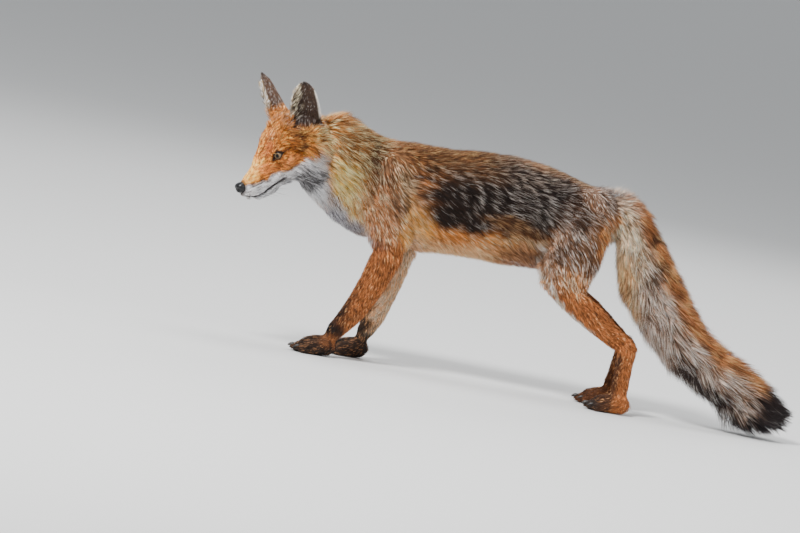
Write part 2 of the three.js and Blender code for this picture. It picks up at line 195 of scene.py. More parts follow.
# ---------------------------------------------------------------- the lie of the coat
# group, from, to, reach, flow (None: along the guide), hair, coat depth, tuft width, crowd, gather
HEAD_GUIDES = [
    ("face", (-68, 0, -22), (-26, 0, 0), 11, (1, 0, 0.35), 5.5, 1.2, 0.85, 2.6, 0.0),
    ("face", (-66, 8, -36), (-28, 16, -22), 11, (1, 0.12, -0.12), 5.5, 1.3, 0.85, 2.6, 0.0),
    ("face", (-66, 7, -44), (-12, 20, -38), 8, (1, 0.15, -0.3), 5.5, 1.4, 0.85, 2.6, 0.0),
    ("jaw", (-62, 4, -54), (-8, 14, -52), 9, (1, 0.05, -0.15), 7, 1.9, 0.85, 2.6, 0.1),
    ("face", (-8, 19, 0), (8, 27, 1), 11, (0.95, 0.3, 0.1), 5.0, 1.0, 0.8, 2.8, 0.0),
    ("face", (-17, 12, 14), (4, 14, 34), 15, (0.7, 0.12, 0.65), 10, 2.3, 1.05, 1.9, 0.15),
    ("face", (-17, 0, 14), (4, 0, 34), 15, (0.75, 0.0, 0.65), 10, 2.3, 1.05, 1.9, 0.15),
    ("face", (10, 0, 40), (56, 0, 54), 22, (1, 0, 0.1), 18, 4.8, 1.0, 1.6, 0.25),
    ("face", (8, 31, -8), (26, 37, -6), 16, (0.95, 0.22, -0.12), 10, 2.8, 1.0, 2.0, 0.15),
    ("ruff", (30, 36, 14), (58, 40, 10), 18, (0.95, 0.25, -0.2), 18, 5.5, 1.2, 1.4, 0.3),
    ("ruff", (38, 40, -16), (62, 42, -22), 20, (0.85, 0.3, -0.45), 25, 9, 1.25, 1.2, 0.4),
    ("jaw", (2, 24, -44), (40, 30, -52), 15, (0.9, 0.15, -0.35), 16, 5.5, 1.1, 1.4, 0.3),
]
EAR_GUIDE = (19, None, 7.0, 0.7, 0.9, 2.0, 0.0)
BODY_GUIDES = [
    ("neck", (-100, -34, 366), (24, 0, 338), 30, (0.98, 0.12, -0.16), 33, 12, 0.85, 0.62, 0.32),
    ("neck", (-98, -80, 312), (20, -60, 272), 36, (0.8, 0.0, -0.6), 38, 15, 0.8, 0.6, 0.35),
    ("neck", (-86, 10, 312), (20, 60, 272), 36, (0.8, 0.15, -0.58), 38, 15, 0.8, 0.6, 0.35),
    ("throat", (-92, -36, 262), (4, 0, 205), 30, (0.8, 0.1, -0.6), 28, 11, 0.95, 0.75, 0.4),
    ("throat", (6, 0, 200), (46, 0, 186), 30, (0.8, 0.0, -0.45), 20, 8, 0.95, 0.8, 0.4),
    ("trunk", (30, 0, 344), (190, 0, 352), 34, (1, 0, -0.05), 29, 10, 0.75, 0.62, 0.3),
    ("trunk", (190, 0, 352), (400, 0, 328), 34, (1, 0, -0.08), 30, 10, 0.75, 0.62, 0.3),
    ("trunk", (70, 60, 290), (350, 50, 300), 46, (0.93, 0, -0.36), 29, 10.5, 0.66, 0.62, 0.3),
    ("trunk", (70, 46, 225), (330, 36, 228), 34, (0.9, 0, -0.4), 25, 8.5, 0.68, 0.65, 0.3),
    ("trunk", (60, 0, 192), (230, 0, 198), 28, (1, 0, -0.2), 20, 8, 0.85, 0.8, 0.25),
    ("trunk", (240, 0, 200), (330, 0, 222), 26, (0.95, 0, -0.1), 16, 6, 0.85, 0.8, 0.15),
    ("fore", (48, 44, 320), (52, 47, 235), 38, (0.5, 0, -0.86), 21, 7.0, 0.9, 0.85, 0.25),
    ("fore", (52, 46, 235), (62, 45, 185), 36, (0.35, 0, -0.93), 16, 5.0, 0.9, 1.1, 0.25),
    ("hind", (352, 34, 320), (342, 43, 230), 44, (0.4, 0, -0.92), 21, 7.0, 0.9, 0.85, 0.25),
    ("hind", (332, 43, 225), (340, 44, 180), 36, (0.3, 0, -0.95), 15, 5.0, 0.9, 1.1, 0.25),
    ("hind", (396, 33, 290), (378, 40, 190), 26, (0.28, 0, -0.96), 23, 8.0, 0.95, 0.8, 0.3),
    ("hind", (330, 44, 185), (398, 40, 133), 22, None, 11, 2.8, 1.0, 1.7, 0.2),
    ("hind", (398, 40, 133), (455, 37, 100), 16, None, 9, 2.2, 0.9, 2.0, 0.1),
    ("hind", (449, 37, 104), (446, 36, 30), 14, None, 8, 2.0, 0.9, 2.0, 0.1),
]
SHAFT_HAIR = (11, 2.8, 1.0, 1.7, 0.2)
WRIST_HAIR = (8.5, 2.2, 0.9, 2.0, 0.1)
PAW_HAIR = (8, 1.5, 0.85, 2.4, 0.2)
SINGLE_GUIDES = [
    ("fore", (60, -44, 190), (35, -39, 106), 19, None, *SHAFT_HAIR),
    ("fore", (35, -39, 106), (3, -35, 40), 15, None, *WRIST_HAIR),
    ("fore", (76, 44, 190), (62, 39, 104), 19, None, *SHAFT_HAIR),
    ("fore", (62, 39, 104), (48, 35, 40), 15, None, *WRIST_HAIR),
    ("paws", (0, -35, 24), (-52, -35, 10), 15, (-0.95, 0, -0.25), *PAW_HAIR),
    ("paws", (45, 35, 24), (0, 35, 10), 15, (-0.95, 0, -0.25), *PAW_HAIR),
    ("paws", (446, -36, 18), (410, -37, 9), 15, (-0.95, 0, -0.3), *PAW_HAIR),
    ("paws", (431, 36, 18), (395, 37, 9), 15, (-0.95, 0, -0.3), *PAW_HAIR),
]
TAIL = [  # places along the tail, hair and coat depth there
    (372, 0, 322, 28, 9), (408, 0, 296, 34, 12), (441, 2, 246, 42, 19), (463, 4, 208, 46, 22),
    (493, 6, 170, 48, 23), (526, 9, 135, 50, 23), (565, 12, 106, 52, 24), (604, 15, 82, 54, 24),
    (643, 17, 64, 52, 21), (676, 18, 52, 44, 15), (700, 19, 46, 34, 9),
]
PUFFS = [  # where, reach, how much the skin is let out, how much the hair is raised
    ((-76, -46, 368), 26, 0.6, 0.9), ((-40, -20, 366), 26, 0.3, 0.35),
    ((374, 0, 338), 24, 0.3, 0.5), ((398, 0, 303), 22, 0.45, 0.4),
]


def tail_reach(start, end):
    """How far a tail guide's say goes, by where along the tail it starts and ends."""
    if start < 380:
        return 28
    return 40 if end < 650 else 30 if end < 690 else 22


def all_guides():
    rows = []

    def add(group, a, b, reach, flow, *rest):
        a, b = np.asarray(a, float), np.asarray(b, float)
        rows.append((group, a, b, reach, unit(b - a) if flow is None else unit(flow), *rest))

    mirror = np.array([1.0, -1.0, 1.0])
    for group, a, b, reach, flow, *rest in HEAD_GUIDES:
        for side in (mirror, np.ones(3)):
            add(group, from_head(a * side), from_head(b * side), reach, turned_from_head(flow * side), *rest)
    for ear in EARS.values():
        add("ears", from_head(ear["base"]), from_head(ear["tip"]), *EAR_GUIDE)
    for group, a, b, reach, flow, *rest in BODY_GUIDES:
        for side in (np.ones(3),) if group in ("neck", "throat") else (mirror, np.ones(3)):
            add(group, a * side, b * side, reach, None if flow is None else flow * side, *rest)
    for row in SINGLE_GUIDES:
        add(*row)
    for (*a, hair_a, depth_a), (*b, hair_b, depth_b) in zip(TAIL, TAIL[1:]):
        hair, depth = (hair_a + hair_b) / 2, (depth_a + depth_b) / 2
        add("tail", a, b, tail_reach(a[0], b[0]), None, hair, depth, 1.0, 0.55, 0.5)
    return rows


GUIDES = all_guides()
GROUPS = sorted({g[0] for g in GUIDES})


def lie(p):
    """The coat at places p: flow; hair, depth, width, crowd and gather; and the strongest guide's group."""
    flow = np.zeros((len(p), 3))
    numbers = np.zeros((len(p), 5))
    total = np.zeros(len(p))
    group_weight = np.zeros((len(p), len(GROUPS)))
    for group, a, b, reach, along, *rest in GUIDES:
        far, _ = to_line(p, a, b)
        w = (reach / np.maximum(far, 2.0)) ** 5
        total += w
        flow += w[:, None] * along
        numbers += w[:, None] * np.array(rest)
        k = GROUPS.index(group)
        group_weight[:, k] = np.maximum(group_weight[:, k], w)
    numbers /= total[:, None]
    return unit(flow), numbers, group_weight.argmax(axis=1)


def share_of_reach(p, group):
    """How far places p are from a group's guides, in reaches."""
    return np.min([to_line(p, a, b)[0] / reach for g, a, b, reach, *_ in GUIDES if g == group], axis=0)


def puffed(p):
    """How much the skin is let out and the hair stands up at places p."""
    x, _, z = p.T
    out, up = np.zeros(len(p)), np.zeros(len(p))
    for spot, reach, let_out, raised in PUFFS:
        near = bell(away(p, spot), reach)
        out, up = out + let_out * near, up + raised * near
    brush = step(x, 396, 425) * step(x, 590, 500) * (share_of_reach(p, "tail") < 1.4)
    belly = step(z, 238, 206) * step(x, 60, 100) * step(x, 345, 320) * step(z, 170, 180)
    return np.clip(out + 0.38 * brush + 0.8 * belly, 0, 0.9), up + 0.7 * belly


# ---------------------------------------------------------------- markings
ORANGE = (212, 132, 70)
LEG_ORANGE = (196, 118, 64)
TAN = (172, 118, 70)
BROWN = (112, 72, 42)
FLANK = (32, 22, 18)
BLACK = (34, 27, 25)
SILVER = (212, 200, 190)
CREAM = (234, 212, 170)
WHITE = (236, 234, 236)
GREY = (142, 136, 132)
PINK = (150, 108, 92)
STRAW = (214, 176, 118)
# lines of the side view: where along the animal, and the line's height there
FLANK_EDGE = ([70, 95, 130, 170, 205, 262, 300, 400], [275, 256, 236, 229, 238, 244, 238, 244])
WHITE_EDGE = ([-100, -66, -23, 13, 40], [250, 250, 234, 214, 196])
LIP_EDGE = (
    [-70, -66, -50, -33, -25, -12, 13, 24, 32, 60],
    [-24, -27, -31, -31, -25, -22, -25.5, -23.5, -20, -18],
)
# the thigh's front edge by height, and the share of the tail's length by x
THIGH_EDGE = ([110, 138, 164, 209, 234], [399, 354, 317, 297, 288])
TAIL_SHARE = ([372, 408, 441, 493, 565, 643, 712], [0, 0.1, 0.22, 0.38, 0.6, 0.82, 1])
# an oval, then colour, strength, shares of dark and of pale hairs, and the pale hairs' colour
NECK_PATCHES = [
    ((-64, 318, 26, 34, 20), ORANGE, 0.45),
    ((-10, 322, 44, 26, -14), TAN, 0.6, 0.45, 0.25),
    ((8, 312, 8, 22, 22), (70, 44, 28), 0.8, 0.8, 0.12),
    ((-34, 276, 24, 26, 35), (255, 188, 80), 0.9, 0.22, 0.48),
    ((-76, 300, 16, 26, 10), (214, 190, 158), 0.45, 0.2, 0.4),
]
SHOULDER_PATCHES = [
    ((44, 262, 46, 74), (206, 138, 92), 0.75, 0.3, 0.3, (242, 208, 170)),
    ((20, 300, 40, 26, -20), BROWN, 0.5, 0.5, 0.25),
    ((66, 280, 13, 40, 14), (172, 134, 96), 0.8, 0.36, 0.4, (226, 196, 154)),
    ((60, 254, 13, 20, 20), (128, 102, 78), 0.5, 0.42, 0.28, (206, 182, 154)),
]
SADDLE_PATCHES = [
    ((140, 320, 60, 16), BROWN, 0.55, 0.4, 0.18),
    ((236, 256, 52, 13, -6), (126, 80, 48), 0.6, 0.35, 0.22, (216, 168, 118)),
]
RUMP_PATCHES = [((368, 318, 26, 26), (96, 74, 62), 0.5, 0.5, 0.35, SILVER)]
BELLY_PATCHES = [
    ((92, 226, 24, 30), (226, 158, 76), 0.8, 0.06, 0.35),
    ((165, 214, 50, 20, 4), (214, 132, 62), 0.8, 0.08, 0.2),
    ((262, 240, 46, 5, 3), (190, 138, 88), 0.7, 0.25, 0.45, CREAM),
]
THIGH_PATCHES = [
    ((332, 232, 26, 26, -20), (100, 74, 56), 0.7, 0.4, 0.25, SILVER),
    ((340, 262, 13, 9, -25, 0.6), (176, 164, 154), 0.55, 0.3, 0.55, SILVER),
]
LOIN_PATCHES = [((318, 296, 44, 27, -14), (52, 38, 33), 0.8, 0.36, 0.22, SILVER)]
THIGH_REAR_PATCHES = [
    ((372, 230, 15, 36, 8), (92, 68, 54), 0.75, 0.45, 0.14, SILVER),
    ((386, 262, 17, 34), ORANGE, 0.75, 0.3, 0.2, (240, 190, 130)),
]
FACE_PATCHES = [  # in the head's frame, with how far from its middle plane each begins
    ((8, 32, 30, 18, 30), None, (186, 106, 34), 0.6, 0.36, 0.22),
    ((-48, -14, 24, 9, 30), None, (255, 176, 80), 0.95, 0.07, 0.22, (255, 206, 132)),
    ((-26, -16, 16, 8, -10), None, (208, 124, 64), 0.7, 0.15, 0.05),
    ((-14, 14, 7, 16, -25), (5, 9), (184, 102, 52), 0.7, 0.3, 0.05),
    ((-6, 27, 8, 7, 30), (8, 13), (196, 128, 72), 0.4, 0.4, 0.2, (226, 186, 140)),
    ((36, 24, 14, 16), (24, 32), (150, 92, 50), 0.55, 0.6, 0.2),
    ((34, -1, 12, 5, -5), (28, 34), (120, 76, 48), 0.55, 0.7, 0.15),
    ((4, -13, 22, 7), (18, 26), (222, 140, 78), 0.7, 0.12, 0.12),
]


def rgb(r, g, b):
    c = np.array([r, g, b]) / 255.0
    return np.where(c <= 0.04045, c / 12.92, ((c + 0.055) / 1.055) ** 2.4)


def mixed(base, share, value):
    return base * (1 - share) + value * share


class Markings:
    """Hair colour, shares of dark and of pale hairs, and the pale hairs' colour, laid on patch by patch."""

    def __init__(self, p, n):
        self.p, self.n, self.up = p, n, n[:, 2]
        self.x = p[:, 0] + 5 * waves(p, 14, 21)
        self.y = p[:, 1]
        self.z = p[:, 2] + 4 * waves(p, 12, 22)
        self.right = step(self.y, -6, 6)
        self.colour = np.tile(rgb(*ORANGE), (len(p), 1))
        self.light = np.tile(rgb(*CREAM), (len(p), 1))
        self.dark = np.full(len(p), 0.22)
        self.pale = np.full(len(p), 0.12)

    def lay(self, mask, tint=None, strength=1.0, dark=None, pale=None, light=None):
        m = np.clip(mask, 0, 1)
        if tint is not None:
            self.colour = mixed(self.colour, (m * strength)[:, None], rgb(*tint))
        if light is not None:
            self.light = mixed(self.light, m[:, None], rgb(*light))
        if dark is not None:
            self.dark = mixed(self.dark, m, dark)
        if pale is not None:
            self.pale = mixed(self.pale, m, pale)

    def patches(self, rows, within=1.0):
        for place, *look in rows:
            self.lay(oval(self.x, self.z, *place) * within, *look)


def mark_neck(k):
    neck = step(k.x, 40, 5) * step(k.z, 180, 215)
    k.lay(neck, (255, 172, 82), 0.95, 0.32, 0.48, (255, 228, 172))
    k.lay(neck * step(k.up, 0.15, 0.8), (190, 124, 66), 0.85, 0.42, 0.16)
    k.patches(NECK_PATCHES)
    k.patches(SHOULDER_PATCHES)


def mark_trunk(k):
    x, z, up = k.x, k.z, k.up
    edge = np.interp(x, *FLANK_EDGE) + 5 * waves(k.p, 26, 23)
    ragged = 16 * waves(k.p * np.array([0.35, 1, 1.6]), 9, 25)
    saddle = step(x + ragged, 52, 122) * step(x, 398, 372) * step(z, edge - 12, edge + 14)
    k.lay(saddle, FLANK, 0.98, 0.4, 0.06, SILVER)
    k.lay(saddle * step(x, 130, 260), None, 1, 0.3, 0.21)
    k.lay(saddle * step(z, 304, 322) * step(x, 130, 200), (66, 46, 36), 0.65, 0.4, 0.24, (222, 200, 182))
    k.patches(SADDLE_PATCHES, saddle)
    withers = step(up, 0.3, 0.9) * step(x, 20, 50) * step(x, 240, 150) * step(z, 290, 310)
    k.lay(withers, (150, 98, 56), 0.85, 0.55, 0.12, STRAW)
    k.lay(saddle * step(up, 0.72, 0.99) * step(x, 190, 260), (150, 98, 64), 0.85, 0.42, 0.38, (236, 190, 148))
    k.patches(RUMP_PATCHES)
    band = step(z, edge + 6, edge - 14) * step(x, 60, 84) * step(z, 170, 190)
    k.lay(band, (218, 146, 72), 0.95, 0.1, 0.25, CREAM)
    k.patches(BELLY_PATCHES)
    groin = oval(x, z, 272, 222, 56, 15, 8, 0.6) * step(x, 334, 316)
    k.lay(groin, (152, 108, 80), 0.8, 0.3, 0.2, (196, 150, 116))
    k.lay(step(up, -0.35, -0.8) * step(x, 70, 110) * step(x, 235, 200), (226, 176, 130), 0.8, 0.05, 0.3)
    k.lay(step(up, -0.45, -0.95) * step(x, 195, 250) * step(x, 345, 320), PINK, 0.8, 0.15, 0.15)


def mark_chest(k):
    edge = np.interp(k.x, *WHITE_EDGE) + 4 * waves(k.p, 18, 24)
    chest = step(k.z, edge + 8, edge - 8) * step(k.x, 58, 30) * step(k.z, 170, 182)
    # The white chest is laid as a darker, bluish grey: painted shade over the white hair.
    k.lay(chest, (142, 140, 152), 0.95, 0.44, 0.44, (240, 238, 248))
    # A darker grey patch on the throat under the jaw: painted shade on the white throat hair.
    k.lay(oval(k.x, k.z, -58, 252, 36, 13, -27), (108, 102, 102), 0.65, 0.42, 0.4, WHITE)
    below = step(k.up, -0.25, -0.7) * oval(k.x, k.z, 50, 190, 50, 40)
    k.lay(below, (224, 186, 146), 0.6, 0.05, 0.3, WHITE)


def mark_forelegs(k):
    x, z, right = k.x, k.z, k.right
    left = 1 - right
    shaft = np.where(k.y < 0, -8 + 0.36 * z, 38 + 0.195 * z)
    ahead = (shaft - x) / 14.0
    low = step(z, 206, 184) * step(x, 120, 104)
    k.lay(low, LEG_ORANGE, 0.95, 0.35, 0.08, (226, 164, 112))
    k.lay(low * step(ahead, 0.05, 0.9) * step(z, 150, 70) * left, BLACK, 0.85, 0.4, 0.05)
    k.lay(low * step(ahead, -0.9, -0.2) * step(z, 92, 44) * left, BLACK, 0.9, 0.3, 0.05)
    inner = low * right * step(k.n[:, 1], 0.35, -0.2)
    k.lay(inner, (206, 160, 116), 0.75, 0.1, 0.3)
    k.lay(inner * step(ahead, 0.5, -0.6), (226, 204, 176), 0.8, 0.05, 0.4)
    k.lay(low * right * step(ahead, -0.1, 0.7) * step(z, 168, 110), BLACK, 0.9, 0.3, 0.05)
    k.lay(low * right * step(z, 66, 34), BLACK, 0.9, 0.3, 0.05)
    paw = step(z, 44, 26) * step(x, 110, 90)
    k.lay(paw, (48, 34, 27), 0.95, 0.4, 0.26, (150, 104, 70))
    heel = paw * left * step(x + 0.9 * z, -2, 24) * step(z, 8, 22) * step(x, 120, 100)
    k.lay(heel, LEG_ORANGE, 0.75, 0.35, 0.15)


def mark_toes(k):
    x, y, z = k.p.T
    for ends_at, mid, half in TOES:
        mine = step(x, ends_at + 34, ends_at + 24) * step(np.abs(y - mid), half + 6, half + 3) * step(z, 30, 24)
        # Lighter brown hair on the upward faces of the toes: partly the paw's own brown hairs, partly a painted
        # highlight from above.
        k.lay(mine * step(k.up, 0.2, 0.8), (92, 66, 48), 0.45, 0.35, 0.35)
        for gap in TOE_GAPS:
            # Near-black lines in the gaps between the toes: painted shade in the creases.
            k.lay(bell(y - mid - gap * half, 2.0) * mine, (12, 10, 9), 0.95, 0.0, 0.0)


def mark_hind_legs(k):
    x, z, out = k.x, k.z, np.abs(k.y)
    thigh = oval(x, z, 345, 235, 50, 92, 0, 0.2) * step(out, 12, 24)
    k.lay(thigh, (186, 128, 88), 0.8, 0.34, 0.3, (236, 212, 192))
    k.patches(THIGH_PATCHES, thigh)
    k.patches(LOIN_PATCHES)
    k.patches(THIGH_REAR_PATCHES, thigh)
    knee = oval(x, z, 350, 182, 30, 28, -40) * step(out, 14, 24)
    k.lay(knee, (214, 142, 84), 0.8, 0.18, 0.42, (246, 214, 182))
    shank = step(z, 190, 160) * step(x, 300, 330)
    k.lay(shank, LEG_ORANGE, 0.95, 0.3, 0.06, (226, 164, 112))
    past = x - np.interp(z, *THIGH_EDGE)
    front = step(past, 6, 2) * step(past, -6, -3) * step(z, 112, 128) * step(z, 246, 236) * step(out, 12, 22)
    k.lay(front, (226, 206, 180), 0.75, 0.1, 0.35, WHITE)
    hock = np.where(k.y < 0, 448, 443)
    cannon = step(z, 104, 84) * step(x, 370, 380)
    k.lay(cannon * step(x, hock + 2, hock - 9), BLACK, 0.8, 0.3, 0.1)
    foot = cannon * step(z, 36, 18) * step(x, hock - 2, hock - 40)
    k.lay(foot, (46, 36, 31), 0.95, 0.3, 0.08, (120, 84, 58))
    # The lower far (right) hind leg is laid in a darker brown: painted shade on the far leg.
    k.lay(step(z, 200, 150) * step(x, 300, 330) * k.right, (122, 70, 36), 0.75, 0.35, 0.1)


def mark_brush(k):
    x, z = k.x, k.z
    tail = step(x, 368, 392) * step(share_of_reach(k.p, "hind") - share_of_reach(k.p, "tail"), -0.12, 0.15)
    along = np.interp(x, *TAIL_SHARE)
    back = k.n[:, 0] * 0.72 + k.up * 0.68
    k.lay(tail, (196, 156, 130), 0.97, 0.36, 0.52, (250, 232, 218))
    side = tail * step(along, 0.32, 0.2) * step(back, 0.6, 0.25)
    k.lay(side, (248, 204, 158), 0.92, 0.16, 0.66, (255, 238, 214))
    under = tail * step(along, 0.34, 0.24) * step(along, 0.1, 0.2) * step(back, -0.2, -0.7)
    k.lay(under, (214, 144, 82), 0.7, 0.26, 0.42, (250, 214, 164))
    upper = tail * step(back, 0.15, 0.7) * step(along, 0.06, 0.2)
    k.lay(upper, (206, 126, 66), 0.88, 0.34, 0.26, (236, 184, 124))
    root = tail * step(along, 0.16, 0.03) * step(back, 0.35, 0.8)
    k.lay(root, (96, 66, 50), 0.9, 0.45, 0.32, (222, 184, 152))
    cream = oval(x, z, 397, 294, 17, 27, -12) * step(back, 0.6, 0.25) * step(x, 380, 388)
    k.lay(cream, (252, 210, 164), 0.9, 0.2, 0.6, (255, 238, 214))
    k.lay(tail * step(back, 0.2, 0.6) * oval(x, z, 454, 272, 10, 15, -30), (50, 36, 30), 0.75, 0.5, 0.15)
    k.lay(tail * oval(x, z, 466, 212, 8, 24, -35), (96, 72, 58), 0.5, 0.55, 0.3)
    k.lay(tail * step(back, 0.0, -0.5) * step(along, 0.4, 0.56), (44, 34, 34), 0.95, 0.25, 0.12)
    k.lay(tail * step(along + 0.04 * step(-back, 0, 1), 0.84, 0.9), (34, 27, 30), 0.98, 0.2, 0.08, GREY)


def mark_head(k):
    q = in_head(k.p)
    x = q[:, 0] + 1.5 * waves(k.p, 8, 31)
    z = q[:, 2] + 1.5 * waves(k.p, 7, 32)
    side = np.abs(q[:, 1])
    head = step(x, 66, 44) * step(away(q, (10, 0, 0)), 125, 105)
    k.lay(head, (198, 114, 42), 1.0, 0.32, 0.16, (240, 176, 96))
    k.lay(head * step(x, 30, 58), (218, 138, 56), 0.7, 0.34, 0.26)
    for place, begins, *look in FACE_PATCHES:
        k.lay(head * oval(x, z, *place) * (step(side, *begins) if begins else 1), *look)
    lip = np.interp(x, *LIP_EDGE)
    k.lay(head * step(z, lip + 2.5, lip - 2.5) * step(side, 1.5, 5), (226, 222, 222), 0.97, 0.14, 0.45, WHITE)
    k.lay(head * step(z, -44, -50), (232, 230, 232), 0.95, 0.05, 0.4, WHITE)
    k.lay(head * step(x, -50, -56) * step(z, -35, -38), (224, 218, 216), 0.95, 0.05, 0.2, WHITE)
    cleft = head * step(side, 2.0, 0.8) * step(x, -56, -62) * step(z, -34, -37) * step(z, -46, -43)
    k.lay(cleft, (52, 42, 40), 0.8, 0.1, 0.0)
    # A dark grey patch under the jaw: painted shade on the white throat hair.
    k.lay(head * oval(x, z, 30, -52, 22, 18, -35), (92, 88, 88), 0.8, 0.45, 0.34, (196, 194, 196))
    k.lay(head * oval(x, z, -46, -31, 15, 3.4, -4), (120, 84, 60), 0.5, 0.45, 0.2)
    lips = step(mouth_distance(q) + 1.2 * step(x, -57, -63), 2.8, 1.5) * step(x, 3, -3)
    k.lay(lips, (26, 21, 22), 0.96, 0.0, 0.0)
    seat = length((q - NOSE_AT) / 10.5)
    k.lay(head * step(seat, 1.2, 1.0), (60, 46, 40), 0.7, 0.2, 0.0)
    for s in SIDES:
        mark_eye(k, q, s)
        mark_ear(k, q, s)


def mark_eye(k, q, s):
    """The dark rim of the eye, its front corner and the line behind it."""
    rel = q - EYE_AT[s]
    u, v, w = (rel @ axis for axis in eye_axes(s))
    rim = np.abs(v + 0.1) / (6.2 * np.clip(1 - (u / np.where(u > 0, 10.2, 11.6)) ** 2, 0.02, 1))
    k.lay(step(rim, 1.15, 0.95) * step(w, -3, 1), (18, 14, 13), 0.97, 0.3, 0.0)
    flat = np.stack([u, v, np.zeros(len(u))], 1)
    far, _ = to_line(flat, (-8, -1, 0), (-14.5, -3.2, 0))
    k.lay(step(far + 0.12 * np.maximum(-8 - u, 0), 4.0, 2.0) * step(w, -9, -5), (26, 19, 17), 0.95, 0.3, 0.0)
    far, _ = to_line(flat, (7, 1, 0), (19, 3.5, 0))
    k.lay(step(far, 2.4, 0.8) * step(w, -14, -8), (64, 40, 28), 0.7, 0.5, 0.0)


def mark_ear(k, q, s):
    """Black back, dark hollow with straw hairs in it, and pale edges."""
    share, front, out, _, _, opening = ear_place(q, s)
    ear = step(share, 0.02, 0.1) * step(np.abs(front), 1.5, 1.3) * step(out, -26, -23) * step(out, 11, 7)
    towards = step(k.n @ HEAD_TURN @ opening, -0.15, 0.2)
    inside, outside = ear * towards, ear * (1 - towards)
    k.lay(outside * step(share, 0.2, 0.4), (52, 41, 36), 0.92, 0.2, 0.12, GREY)
    k.lay(outside * step(share, 0.4, 0.2), (206, 124, 52), 0.9, 0.35, 0.2)
    k.lay(inside, (36, 27, 25), 0.97, 0.2, 0.06, GREY)
    tufts = inside * step(front + 0.3 * waves(q, 6, 41), 0.1, 0.7) * step(share, 0.16, 0.3)
    k.lay(tufts, (120, 102, 82), 0.8, 0.45, 0.42, (232, 214, 182))
    rear = ear * step(-front, 0.84, 0.96) * step(-front, 1.2, 1.1)
    rear = rear * step(share, 0.86, 0.72) * step(share, 0.2, 0.34)
    k.lay(rear, (226, 214, 194), 0.9, 0.1, 0.4, WHITE)
    ahead = ear * step(front, 0.84, 0.96) * step(share, 0.9, 0.8) * step(share, 0.3, 0.5)
    k.lay(ahead, (206, 178, 134), 0.7, 0.2, 0.4, WHITE)
    k.lay(ear * step(front, 0.7, 0.95) * step(share, 0.42, 0.26), (210, 130, 58), 0.9, 0.3, 0.2)
    k.lay(ear * step(share, 0.86, 0.96), (48, 36, 32), 0.85, 0.2, 0.1)


def markings(p, n):
    """Hair colour, share of dark and of pale hairs, and the pale hairs' colour, at places p with normals n."""
    k = Markings(p, n)
    for mark in (mark_neck, mark_trunk, mark_chest, mark_forelegs, mark_toes, mark_hind_legs):
        mark(k)
    mark_brush(k)
    mark_head(k)
    return k.colour, np.clip(k.dark, 0, 1), np.clip(k.pale, 0, 1), k.light


# ---------------------------------------------------------------- mesh helpers
def new_object(name, data):
    made = bpy.data.objects.new(name, data)
    bpy.context.scene.collection.objects.link(made)
    return made


def new_mesh(name, bm):
    mesh = bpy.data.meshes.new(name)
    bm.to_mesh(mesh)
    bm.free()
    return mesh


def new_piece(name, mesh, material):
    """A piece of the model, shaded smooth, that rides on the root and shows its slot's finish."""
    piece = new_object(name, mesh)
    mesh.materials.clear()
    mesh.materials.append(material)
    mesh.polygons.foreach_set("use_smooth", np.ones(len(mesh.polygons), bool))
    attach(piece, "root")
    return piece


def column(items, what, width, kind=float):
    """One value of each vertex, edge or triangle of a mesh, as rows."""
    rows = np.empty(len(items) * width, kind)
    items.foreach_get(what, rows)
    return rows.reshape(-1, width)


def spots(mesh):
    return column(mesh.vertices, "co", 3)


def facing(mesh):
    return column(mesh.vertices, "normal", 3)


def edge_ends(mesh):
    return column(mesh.edges, "vertices", 2, np.int32)


def place(mesh, co):
    mesh.vertices.foreach_set("co", np.ascontiguousarray(co).ravel())
    mesh.update()


def averaged(values, ends):
    """Each vertex's neighbours' average."""
    a, b = ends.T
    count = len(values)
    links = np.bincount(a, minlength=count) + np.bincount(b, minlength=count)
    sums = [np.bincount(a, v[b], count) + np.bincount(b, v[a], count) for v in values.T]
    return np.stack(sums, axis=1) / np.maximum(links, 1)[:, None]


def relaxed(co, ends, amount, times):
    """Smooths without shrinking."""
    for _ in range(times):
        for pull in (0.52, -0.54):
            co = co + (averaged(co, ends) - co) * (pull * amount)[:, None]
    return co


def calmed(n, ends, times):
    """Directions that change more slowly from vertex to vertex."""
    for _ in range(times):
        n = unit(averaged(n, ends) + n)
    return n


def coloured(mesh, name, colour):
    layer = mesh.attributes.new(name, "FLOAT_COLOR", "POINT")
    rows = np.ones((len(colour), 4))
    rows[:, :3] = colour
    layer.data.foreach_set("color", rows.ravel())


def faced_outwards(mesh):
    bm = bmesh.new()
    bm.from_mesh(mesh)
    bmesh.ops.recalc_face_normals(bm, faces=bm.faces)
    bm.to_mesh(mesh)
    bm.free()


def finished(obj):
    """The mesh of an object with its modifiers applied."""
    made = bpy.data.meshes.new_from_object(obj.evaluated_get(bpy.context.evaluated_depsgraph_get()))
    old = obj.data
    bpy.data.objects.remove(obj)
    bpy.data.meshes.remove(old)
    return made


# ---------------------------------------------------------------- skin
PAWS = ("left_forepaw", "right_forepaw", "left_hind_foot", "right_hind_foot")
CLAWS = {paw: [f"{paw}_claw_{k}" for k in range(1, 5)] for paw in PAWS}
APART = ("left_eye", "right_eye", "nose")
FLESH = sorted(set(nodes) - {*APART, *(c for row in CLAWS.values() for c in row)})
WELD = 2e-5  # metres between corners that are one
SMOOTH_SWELL = 0.0006  # metres the solids are let out by, which the smoothing takes back
VOXEL = 0.0018
SKIN_SHARE = 0.24  # faces kept where the skin is plain
BODY_ROUNDS, FACE_ROUNDS, HEEL_ROUNDS, LAST_ROUNDS = 70, 8, 36, 6
NORMAL_ROUNDS, DEPTH_ROUNDS = 10, 12
SOLE = 0.1  # lowest height of the skin
UP = np.array([0, 0, 1.0])


